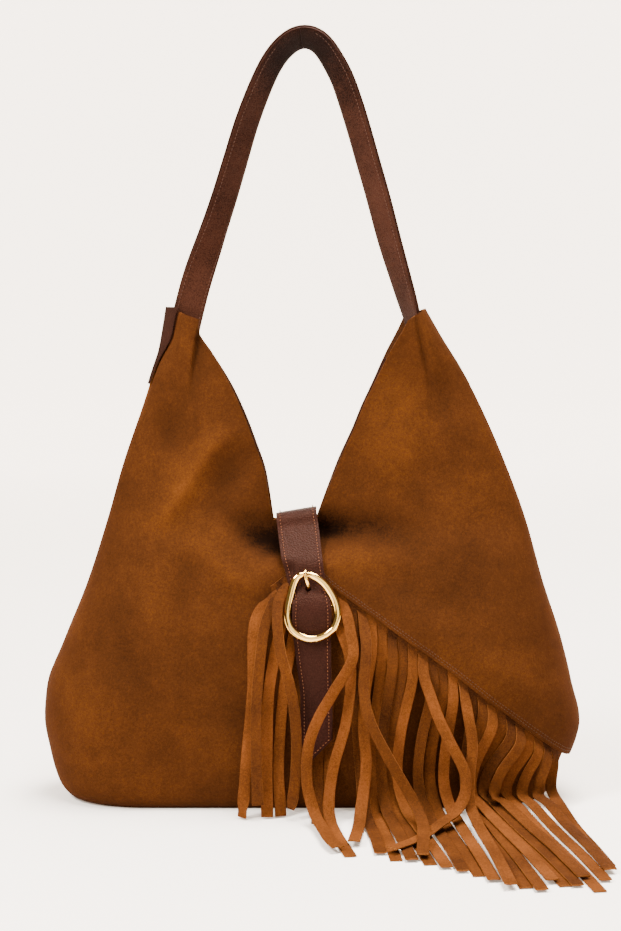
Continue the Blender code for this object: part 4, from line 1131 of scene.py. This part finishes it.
# %% Ring buckle
def ring_line(t):
    """Centre line of the ring's rod at t from 0 to 1 round the loop, and the outward side."""
    n = len(RING_OUTLINE)
    s = (t % 1.0) * n
    i = int(s)
    f = s - i
    pts = [Vector(RING_OUTLINE[(i + k) % n]).to_3d() for k in (-1, 0, 1, 2)]
    p0, p1, p2, p3 = pts
    here = (p1 * 2 + (p2 - p0) * f + (p0 * 2 - p1 * 5 + p2 * 4 - p3) * f * f
            + (p1 * 3 - p0 - p2 * 3 + p3) * f ** 3) * 0.5
    along = ((p2 - p0) + (p0 * 2 - p1 * 5 + p2 * 4 - p3) * 2 * f
             + (p1 * 3 - p0 - p2 * 3 + p3) * 3 * f * f).normalized()
    outward = Vector((along.y, -along.x, 0))
    return here * 0.001 - outward * RING_TUBE, outward


def ring_neck(spot):
    """Share of its width that the rod keeps at this spot of its centre line."""
    near = math.exp(-((spot.x * 1000 - PRONG_X) / 3.4) ** 2) if spot.y > 0 else 0.0
    return 1 - RING_NECK * near


def ring_top(x):
    """Height of the rod's centre line above the ring's centre where it passes over x."""
    spots = [ring_line(k / 2400)[0] for k in range(2400)]
    over = [spot for spot in spots if spot.y > 0]
    return min(over, key=lambda spot: abs(spot.x - x)).y


def make_ring():
    bpy.ops.mesh.primitive_torus_add(major_segments=144, minor_segments=28, major_radius=1.0,
                                     minor_radius=0.25)
    ring = bpy.context.object
    ring.name = "buckle_ring_metal"
    for v in ring.data.vertices:
        around = math.atan2(v.co.y, v.co.x) / (2 * math.pi)
        reach = (math.hypot(v.co.x, v.co.y) - 1.0) / 0.25
        depth = v.co.z / 0.25
        line, outward = ring_line(around)
        thick = RING_TUBE * ring_neck(line)
        spot = line + outward * reach * thick
        v.co = ring_point(spot.x, spot.y, depth * thick * 0.78)
    ring.data.materials.append(pale_gold)
    ends = [(-0.0192, -0.0008), (-0.0178, -0.0018), (-0.0162, -0.0026), (0, -0.0026),
            (0.0152, -0.0026), (0.018, -0.0018), (0.0196, -0.0008)]
    bar = add_piece("bar", rod_mesh("bar", [ring_point(x, 0.0, out) for x, out in ends],
                                    BAR_RADIUS, 4), (pale_gold,))
    join = ring.modifiers.new("bar", "BOOLEAN")
    join.operation, join.object = "UNION", bar
    plain_mesh(ring)
    bpy.data.objects.remove(bar, do_unlink=True)
    ring.data.shade_smooth()
    ring.data.set_sharp_from_angle(angle=math.radians(60))
    print("ring faces", len(ring.data.polygons))
    return ring


def make_prong():
    prong_up = ring_top(PRONG_X * 0.001)
    round_radius = RING_TUBE * (1 - RING_NECK) + PRONG_RADIUS + 1.6 * GAP
    tip_up = HOLE_AT[1] * 0.001 - prong_up
    spots = []
    for k in range(41):
        angle = math.radians(lerp(285, -8, k / 40))
        spots.append(Vector((round_radius * math.sin(angle), round_radius * math.cos(angle), 0)))
    run = [spots[-1]] + [Vector(p) for p in (
        (tip_up * 0.35, 0.0034, 0), (tip_up * 0.62, 0.0026, 0), (tip_up * 0.86, 0.0006, 0),
        (tip_up * 0.97, -0.0014, 0), (tip_up, -0.0040, 0))]
    spots += [spline(run, k / 30) for k in range(1, 31)]
    line = []
    for up, out, _ in spots:
        side = (HOLE_AT[0] - PRONG_X) * 0.001 * max(0.0, up / tip_up)
        line.append(ring_point(PRONG_X * 0.001 + side, prong_up + up, out))
    mesh = rod_mesh("buckle_prong_metal", line, PRONG_RADIUS, 6, 1.5)
    mesh.shade_smooth()
    print("prong faces", len(mesh.polygons))
    return add_piece("buckle_prong_metal", mesh, (pale_gold,))


made["buckle_ring"], made["buckle_prong"] = make_ring(), make_prong()

# %% [markdown]
# ## Fringe
# The fringe is one piece of suede: a head that is sewn under the overlay, cut into strips below
# it. Each strip follows its own line down the front and over the floor. The strips stay joined to
# the head, so the whole fringe is one grid, with the narrow slit columns taken away below the
# head. The strips cup a little, and each takes its own tint, because the suede's fibres lie
# differently. Just below the head the strips also carry painted shade from the overlay's edge.

# %% Lines of the strips
HEADER_ROWS = 5
BUNCH_EDGE, BUNCH = -14.0, 0.55     # the strips left of this are bunched up behind the strap
STRIP_CELLS = 4
STRIP_STEPS = 64
COARSE = 18.0
HEADER_END = 197.2       # right end of the fringe's header


def header_line():
    """Distances and points (x, height) along the seam for the fringe's header."""
    points = []
    x = SEAM[0][0]
    while x < HEADER_END:
        points.append(Vector((x, seam_height(x), 0)))
        x += 1.0
    run = [0.0]
    for a, b in zip(points, points[1:]):
        run.append(run[-1] + (b - a).length)
    return run, points


HEADER_RUN, HEADER_POINTS = header_line()


def along_header(distance):
    k = 0
    while k < len(HEADER_RUN) - 2 and HEADER_RUN[k + 1] < distance:
        k += 1
    f = (distance - HEADER_RUN[k]) / (HEADER_RUN[k + 1] - HEADER_RUN[k])
    a, b = HEADER_POINTS[k], HEADER_POINTS[k + 1]
    return a.lerp(b, f), (b - a).normalized()


def header_distance(i):
    """Distance along the seam of column i, counted in cells of the strips and slits."""
    pitch = (HEADER_RUN[-1] - 1.0) / STRIPS
    slit = SLIT * 1000
    k, c = divmod(i, STRIP_CELLS + 1)
    return 0.5 + slit / 2 + k * pitch + c / STRIP_CELLS * (pitch - slit)


def header_place(i, j):
    """Header point; row 0 lies under the overlay, the last row is where the cuts start."""
    spot, along = along_header(header_distance(i))
    down = Vector((along.y, -along.x, 0))
    under = 5.9 if spot.x > OVERLAY_EDGE else 2.5
    if spot.x < BUNCH_EDGE:
        x = lerp(BUNCH_EDGE, spot.x, BUNCH)
        spot = Vector((x, seam_height(x), 0))
    if j == HEADER_ROWS:
        spot = spot + Vector((0, -CUT_DROP, 0))
    else:
        spot = spot - down * under * (1 - j / HEADER_ROWS)
    return body_point(spot.x, spot.y, True)


def strip_route(k):
    """Centre line of strip k from its cut at the header to its tip."""
    first = k * (STRIP_CELLS + 1)
    a = header_place(first, HEADER_ROWS)
    b = header_place(first + STRIP_CELLS, HEADER_ROWS)
    top = (a + b) / 2 + Vector((0, -GAP - 0.0009 * max(0, 4 - k), 0))
    if k in LOOSE_STRIPS:
        return [top] + [real(*p) for p in LOOSE_STRIPS[k]]
    tip_x, tip_y, sway = EVEN_STRIPS[k]
    x0, z0 = top.x * 1000, top.z * 1000
    clear = (4.0, 6.6)[k % 2] if k < 21 else (4.0, 7.6, 11.2)[k % 3]
    if k in (5, 6):
        clear = 1.9
    lying = (0.4, 2.4)[k % 2] if k < 21 else (0.4, 2.3, 4.2)[k % 3]
    points = [top]
    for fall, part, out in ((0.17, 0.06, 0.85), (0.48, 0.75, 1.2), (0.74, 1.0, 1.5)):
        z = z0 * (1 - fall)
        x = x0 + sway * part + (tip_x - x0) * fall * 0.18
        points.append(real(x, min(body_y(x, z, True, False), -30) - clear * out, z))
    foot_y = body_y(x0, 20, True, False) if abs(x0) < 150 else -52
    foot_x = x0 + sway * 0.75 + (tip_x - x0) * 0.25
    points.append(real(foot_x, min(foot_y, -46) - 13 - clear, 7 + lying))
    points.append(real(lerp(foot_x, tip_x, 0.35), lerp(min(foot_y, -46) - 20, tip_y, 0.25),
                       lying + 0.6))
    points.append(real(lerp(foot_x, tip_x, 0.7), lerp(min(foot_y, -46) - 20, tip_y, 0.62), lying))
    points.append(real(tip_x, tip_y, lying * 0.85))
    return points


def strip_frames(k):
    """Centre, width and face direction of strip k at each of its rows."""
    path = even_path(strip_route(k), STRIP_STEPS)
    first = k * (STRIP_CELLS + 1)
    across = (header_place(first + STRIP_CELLS, HEADER_ROWS)
              - header_place(first, HEADER_ROWS)).normalized()
    twist = 0.0 if k in (3, 4, 5, 6) else math.radians((14, -10, 18, -8, 10)[k % 5])
    frames = []
    for j, centre in enumerate(path):
        before, after = path[max(j - 1, 0)], path[min(j + 1, STRIP_STEPS)]
        along = (after - before).normalized()
        lying = 1 - ease((centre.z * 1000 - 8) / 24)
        facing = Vector((0, -(1 - lying) - 0.02, lying + 0.02))
        width = facing.cross(along).normalized()
        t = j / STRIP_STEPS
        angle = twist * math.sin(math.pi * min(t / 0.62, 1.0)) ** 2 * (1 - lying)
        width = width * math.cos(angle) + along.cross(width) * math.sin(angle)
        blend = ease(1 - t * COARSE / 2.0)
        at_header = (HEADER_RUN[-1] - 1.0) / STRIPS * 0.001 - SLIT
        span = lerp(FRINGE_WIDTH * (1 + 0.12 * lying), at_header, blend)
        width = width.lerp(across, blend).normalized()
        frames.append((centre, width * span, along.cross(width).normalized()))
    return frames


# %% Cut fringe
def make_fringe():
    frames = [strip_frames(k) for k in range(STRIPS)]
    columns = STRIPS * (STRIP_CELLS + 1) - 1

    def place(i, j):
        if j <= HEADER_ROWS:
            return header_place(i, j)
        k, c = divmod(i, STRIP_CELLS + 1)
        centre, width, face = frames[k][j - HEADER_ROWS]
        f = c / STRIP_CELLS - 0.5
        cup = 0.0004 * math.sin(k * 2.4 + 1) * (1 - 4 * f * f)
        return centre + width * f + face * cup * ease((j - HEADER_ROWS) / 12)

    def lift(i, j):
        return 1.3 * GAP * max(0.0, 1 - max(0, j - HEADER_ROWS) / STRIP_STEPS * COARSE / 2)

    def keep(i, j):
        return j < HEADER_ROWS or i % (STRIP_CELLS + 1) < STRIP_CELLS

    def tint(i, j):
        k = i // (STRIP_CELLS + 1)
        own = 0.5 + 0.17 * math.sin(k * 4.7 + 0.6)
        # Painted shade: the strips are darker just below the header, under the overlay's edge
        shaded = 0.24 * math.exp(-max(0, j - HEADER_ROWS) / 2.5)
        return max(own - shaded + 0.16 * noise.noise(Vector((k * 3.3, j / 9, 0))), 0.0)

    return cut_sheet("fringe_suede", columns, HEADER_ROWS + STRIP_STEPS, place,
                     (fringe_suede, suede_inside, suede_edge), FRINGE_SUEDE, True, keep, lift,
                     flip=True, tint=tint, edge=0.0002)


made["fringe"] = make_fringe()

# %% [markdown]
# ## Stitches
# Every seam of the bag shows a row of short stitches. Geometry Nodes sew them: a line is walked in
# even steps, one small capsule of thread is set on each step along the line, and tilted a little,
# as hand guided stitches are. The tree ends in plain geometry with its thread material.

# %% Stitch tree
def make_stitch_tree():
    tree = bpy.data.node_groups.new("stitch_row", "GeometryNodeTree")
    face = tree.interface
    face.new_socket("Geometry", in_out="OUTPUT", socket_type="NodeSocketGeometry")
    face.new_socket("Geometry", in_out="INPUT", socket_type="NodeSocketGeometry")
    for name, kind in (("Pitch", "NodeSocketFloat"), ("Stitch Length", "NodeSocketFloat"),
                       ("Thread Radius", "NodeSocketFloat"), ("Tilt", "NodeSocketFloat"),
                       ("Thread", "NodeSocketMaterial")):
        face.new_socket(name, in_out="INPUT", socket_type=kind)

    def node(kind, links=None, **settings):
        made_node = tree.nodes.new(kind)
        for key, value in settings.items():
            setattr(made_node, key, value)
        for socket, value in (links or {}).items():
            if isinstance(value, bpy.types.NodeSocket):
                tree.links.new(value, made_node.inputs[socket])
            else:
                made_node.inputs[socket].default_value = value
        return made_node

    given = node("NodeGroupInput").outputs
    curve = node("GeometryNodeMeshToCurve", {"Mesh": given["Geometry"]}).outputs["Curve"]
    steps = node("GeometryNodeResampleCurve", {"Curve": curve, "Length": given["Pitch"]},
                 mode="LENGTH").outputs["Curve"]
    ball = node("GeometryNodeMeshUVSphere", {"Segments": 8, "Rings": 6, "Radius": 0.5})
    size = node("ShaderNodeCombineXYZ", {"X": given["Stitch Length"], "Y": given["Thread Radius"],
                                         "Z": given["Thread Radius"]}).outputs["Vector"]
    stitch = node("GeometryNodeTransform", {"Geometry": ball.outputs["Mesh"],
                                            "Scale": size}).outputs["Geometry"]
    along = node("FunctionNodeAlignRotationToVector",
                 {"Vector": node("GeometryNodeInputTangent").outputs["Tangent"]}, axis="X")
    low = node("ShaderNodeMath", {0: given["Tilt"], 1: -1.0}, operation="MULTIPLY").outputs[0]
    lean = node("FunctionNodeRandomValue", {"Min": node("ShaderNodeCombineXYZ", {
        "Y": low, "Z": low}).outputs["Vector"], "Max": node("ShaderNodeCombineXYZ", {
            "Y": given["Tilt"], "Z": given["Tilt"]}).outputs["Vector"], "Seed": 7},
                data_type="FLOAT_VECTOR")
    turn = node("FunctionNodeRotateRotation", {"Rotation": along.outputs["Rotation"],
                                               "Rotate By": lean.outputs["Value"]},
                rotation_space="LOCAL")
    rows = node("GeometryNodeInstanceOnPoints", {"Points": steps, "Instance": stitch,
                                                 "Rotation": turn.outputs["Rotation"]})
    real_rows = node("GeometryNodeRealizeInstances", {"Geometry": rows.outputs["Instances"]})
    done = node("GeometryNodeSetMaterial", {"Geometry": real_rows.outputs["Geometry"],
                                            "Material": given["Thread"]})
    tree.links.new(done.outputs["Geometry"], node("NodeGroupOutput").inputs["Geometry"])
    return tree


STITCHES = make_stitch_tree()


def sew(name, lines, pitch, length, radius, thread, tilt=0.06):
    """Stitches along the lines, as one plain mesh."""
    mesh = bpy.data.meshes.new(name)
    spots, edges = [], []
    for line in lines:
        edges += [(len(spots) + k, len(spots) + k + 1) for k in range(len(line) - 1)]
        spots += line
    mesh.from_pydata(spots, edges, [])
    obj = add_piece(name, mesh, ())
    rows = obj.modifiers.new("stitches", "NODES")
    rows.node_group = STITCHES
    values = {"Pitch": pitch, "Stitch Length": length, "Thread Radius": radius, "Tilt": tilt,
              "Thread": thread}
    for item in STITCHES.interface.items_tree:
        if item.in_out == "INPUT" and item.name in values:
            rows[item.identifier] = values[item.name]
    plain_mesh(obj)
    obj.data.shade_smooth()
    print(f"{name}: {len(obj.data.polygons)} faces")
    return obj


# %% Sewn rows
def overlay_row(up, start=0.004, end=0.985, steps=160):
    """Line on the overlay's face, up millimetres above its turned lower edge."""
    line = []
    for k in range(steps + 1):
        u = lerp(start, end, k / steps)
        x, z0 = overlay_xz(u, 0.0)
        _, z1 = overlay_xz(u, 0.024)
        v = 0.024 * up / max(z1 - z0, 0.5)
        x, z = overlay_xz(u, v)
        spot, near = body_point(x, z), body_point(x + 1, z)
        over = body_point(x, z + 1)
        normal = (near - spot).cross(over - spot).normalized()
        if normal.y > 0:
            normal = -normal
        line.append(spot + normal * (overlay_lift(u, v) + SUEDE + 0.00005))
    return line


def strap_row(inset, start, end, offset):
    """Line along the shoulder strap, inset from one edge, - for the other edge."""
    frames = shoulder_frames()[start:end + 1]
    side = STRAP_WIDTH / 2 - abs(inset)
    return [centre + width * math.copysign(side, inset) + face * offset
            for centre, width, face in frames]


STRAP_INSETS = (0.0028, -0.0028)     # stitch rows from both edges of the shoulder strap
face_up = GAP / 2 + LEATHER + 0.00015
strap_rows = [strap_row(inset, 6, half - 8, face_up) for inset in STRAP_INSETS]
strap_rows += [strap_row(inset, half + 4, SHOULDER_STEPS - 6, face_up) for inset in STRAP_INSETS]
strap_rows += [strap_row(inset, 6, SHOULDER_STEPS - 6, -LEATHER - GAP / 2 - 0.0001)
               for inset in STRAP_INSETS]


def closure_row(f_of_row, start, end, steps, offset):
    return [closure_spot(lerp(start, end, k / steps), f_of_row(lerp(start, end, k / steps)),
                         offset, 0, 0.0003) for k in range(steps + 1)]


def closure_inset(row, inset):
    """Share across the closure strap that lies inset millimetres from its edge."""
    k = min(int(row), CLOSURE_STEPS)
    z = CLOSURE_FRAMES[k][0].z * 1000 if CLOSURE_FRAMES[k][0].y < 0 else 234
    span = closure_right(z) - closure_left(z)
    return inset / span if inset > 0 else 1 + inset / span


def closure_sides(start, offset):
    """Rows along both edges of the closure strap, from row start to its tail."""
    return [closure_row(lambda r: closure_inset(r, 2.9), start, last_row, 240, offset),
            closure_row(lambda r: closure_inset(r, -2.9), start, last_row, 240, offset)]


# The needle's holes, dots of painted shade in the edge paint's brown, lie halfway between the stitches
# and a little deeper
CLOSURE_PITCH = 0.0027
FIRST_STITCH, FIRST_HOLE = 3, 3.84
HOLE_SINK = 0.0001
over_strap = 2 * LEATHER + GAP + 0.00005
last_row = CLOSURE_STEPS - 3
closure_rows = closure_sides(FIRST_STITCH, over_strap)
closure_rows.append([closure_spot(last_row, lerp(0.13, 0.87, k / 12), over_strap, 0, 0.0003)
                     for k in range(13)])
hole_rows = closure_sides(FIRST_HOLE, over_strap - HOLE_SINK)
made["overlay_stitches"] = sew("overlay_stitches", [overlay_row(2.6), overlay_row(4.6)], 0.0028,
                               0.0018, 0.0004, suede_thread)
made["strap_stitches"] = sew("shoulder_strap_stitches", strap_rows, 0.0030, 0.0020, 0.00042,
                             strap_thread)
# Painted shade: dark dots stand for the shaded needle holes
made["closure_holes"] = sew("closure_strap_holes", hole_rows, CLOSURE_PITCH, 0.0008,
                            0.0006, painted_edge)
made["closure_stitches"] = sew("closure_strap_stitches", closure_rows, CLOSURE_PITCH,
                               0.0015, 0.00048, tan_thread)

# %% [markdown]
# ## Tying the looks to the frame
# Each piece rides on its CAD body and stands for its CAD solid.

# %% Bodies, replaced nodes and sheets
for node_name, piece in made.items():
    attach(piece, "prong" if node_name == "buckle_prong" else "bag")
    if node_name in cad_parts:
        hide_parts(node_name)
SHEETS = {"front_panel": (0.50, 0.45, "gathered"), "back_panel": (0.50, 0.46, "gathered"),
          "front_overlay": (0.24, 0.36, "gathered"), "fringe": (0.31, 0.33, "hung")}
for node_name, (wide, long, held) in SHEETS.items():
    piece = made[node_name]
    stitches = [made["overlay_stitches"]] if node_name == "front_overlay" else []
    min(piece["flat_area"], wide * long)

# %% [markdown]
# ## Studio
# A pale seamless floor that curves up far behind, large soft lights and a long lens at the
# photograph's height. The long lens keeps the bag's shape without strong perspective.

# %% Floor, lights and camera
# Painted light: the paper glows, dim near the bag and bright towards the back, and so also lights the
# bag
stage_shade = Shade("glowing_studio_paper", Roughness=0.9, Specular_IOR_Level=0.1, Emission_Strength=3.2)
paper_grain = stage_shade.cloud(stage_shade.place(), 3, 2, 0.5)
depth_axis = stage_shade.node("ShaderNodeSeparateXYZ", values={"Vector": stage_shade.place()},
                              out=1)
glowing_studio_paper = stage_shade.feed(
    Base_Color=stage_shade.mix(paper_grain, paint(240, 232, 224), paint(244, 237, 230)),
    # The glow ramps from dim near the bag to bright about 2.6 m back
    Emission_Color=stage_shade.mix(stage_shade.spread(depth_axis, 0.1, 2.6), paint(90, 81, 72),
                                   paint(254, 236, 217)))
profile = [(-5.0, 0.0), (4.0, 0.0)]
profile += [(4.0 + 2.2 * math.sin(a), 2.2 - 2.2 * math.cos(a))
            for a in (math.pi / 2 * k / 16 for k in range(1, 17))]
profile.append((6.2, 6.0))
bm = bmesh.new()
rows = [[bm.verts.new((x, y, z)) for x in (-7.0, 7.0)] for y, z in profile]
for low, high in zip(rows, rows[1:]):
    bm.faces.new((low[0], low[1], high[1], high[0]))
paper_mesh = bpy.data.meshes.new("studio_floor")
bm.to_mesh(paper_mesh)
bm.free()
studio_floor = add_piece("studio_floor", paper_mesh, (glowing_studio_paper,))
paper_mesh.shade_smooth()

world = bpy.data.worlds.new("studio")
scene.world = world
world.use_nodes = True
world.node_tree.nodes["Background"].inputs["Color"].default_value = (1.0, 0.975, 0.945, 1.0)
world.node_tree.nodes["Background"].inputs["Strength"].default_value = 0.15


def add_light(name, place, aim, size, power, colour=(1.0, 0.97, 0.93)):
    lamp = bpy.data.lights.new(name, "AREA")
    lamp.shape, lamp.size, lamp.size_y = "RECTANGLE", size[0], size[1]
    lamp.energy, lamp.color = power, colour
    obj = bpy.data.objects.new(name, lamp)
    scene.collection.objects.link(obj)
    obj.location = place
    obj.rotation_euler = (Vector(aim) - Vector(place)).to_track_quat("-Z", "Y").to_euler()
    return obj


add_light("key_left", (-1.2, -1.2, 1.6), (0, 0, 0.25), (0.6, 0.6), 122)
add_light("front", (0.7, -2.4, 1.2), (0, 0, 0.25), (2.6, 1.8), 34)
add_light("top", (0.4, -0.2, 2.4), (0, 0, 0.0), (1.8, 1.2), 300, (1.0, 0.95, 0.89))
add_light("wall_left", (-3.0, 3.0, 2.6), (-0.6, 6.2, 1.4), (2.0, 2.0), 200)
add_light("wall_right", (3.0, 3.0, 2.6), (0.6, 6.2, 1.4), (2.0, 2.0), 200)

CAMERA_PLACE = (-0.0012, -1.6, 0.43)
CAMERA_DIP = 5.7517      # degrees below level
camera_data = bpy.data.cameras.new("camera")
camera_data.sensor_width, camera_data.lens = 36.0, 77.34
camera = bpy.data.objects.new("camera", camera_data)
scene.collection.objects.link(camera)
camera.location = CAMERA_PLACE
camera.rotation_euler = (math.radians(90 - CAMERA_DIP), 0, 0)
scene.camera = camera

# %% Final update of the scene
bpy.context.view_layer.update()
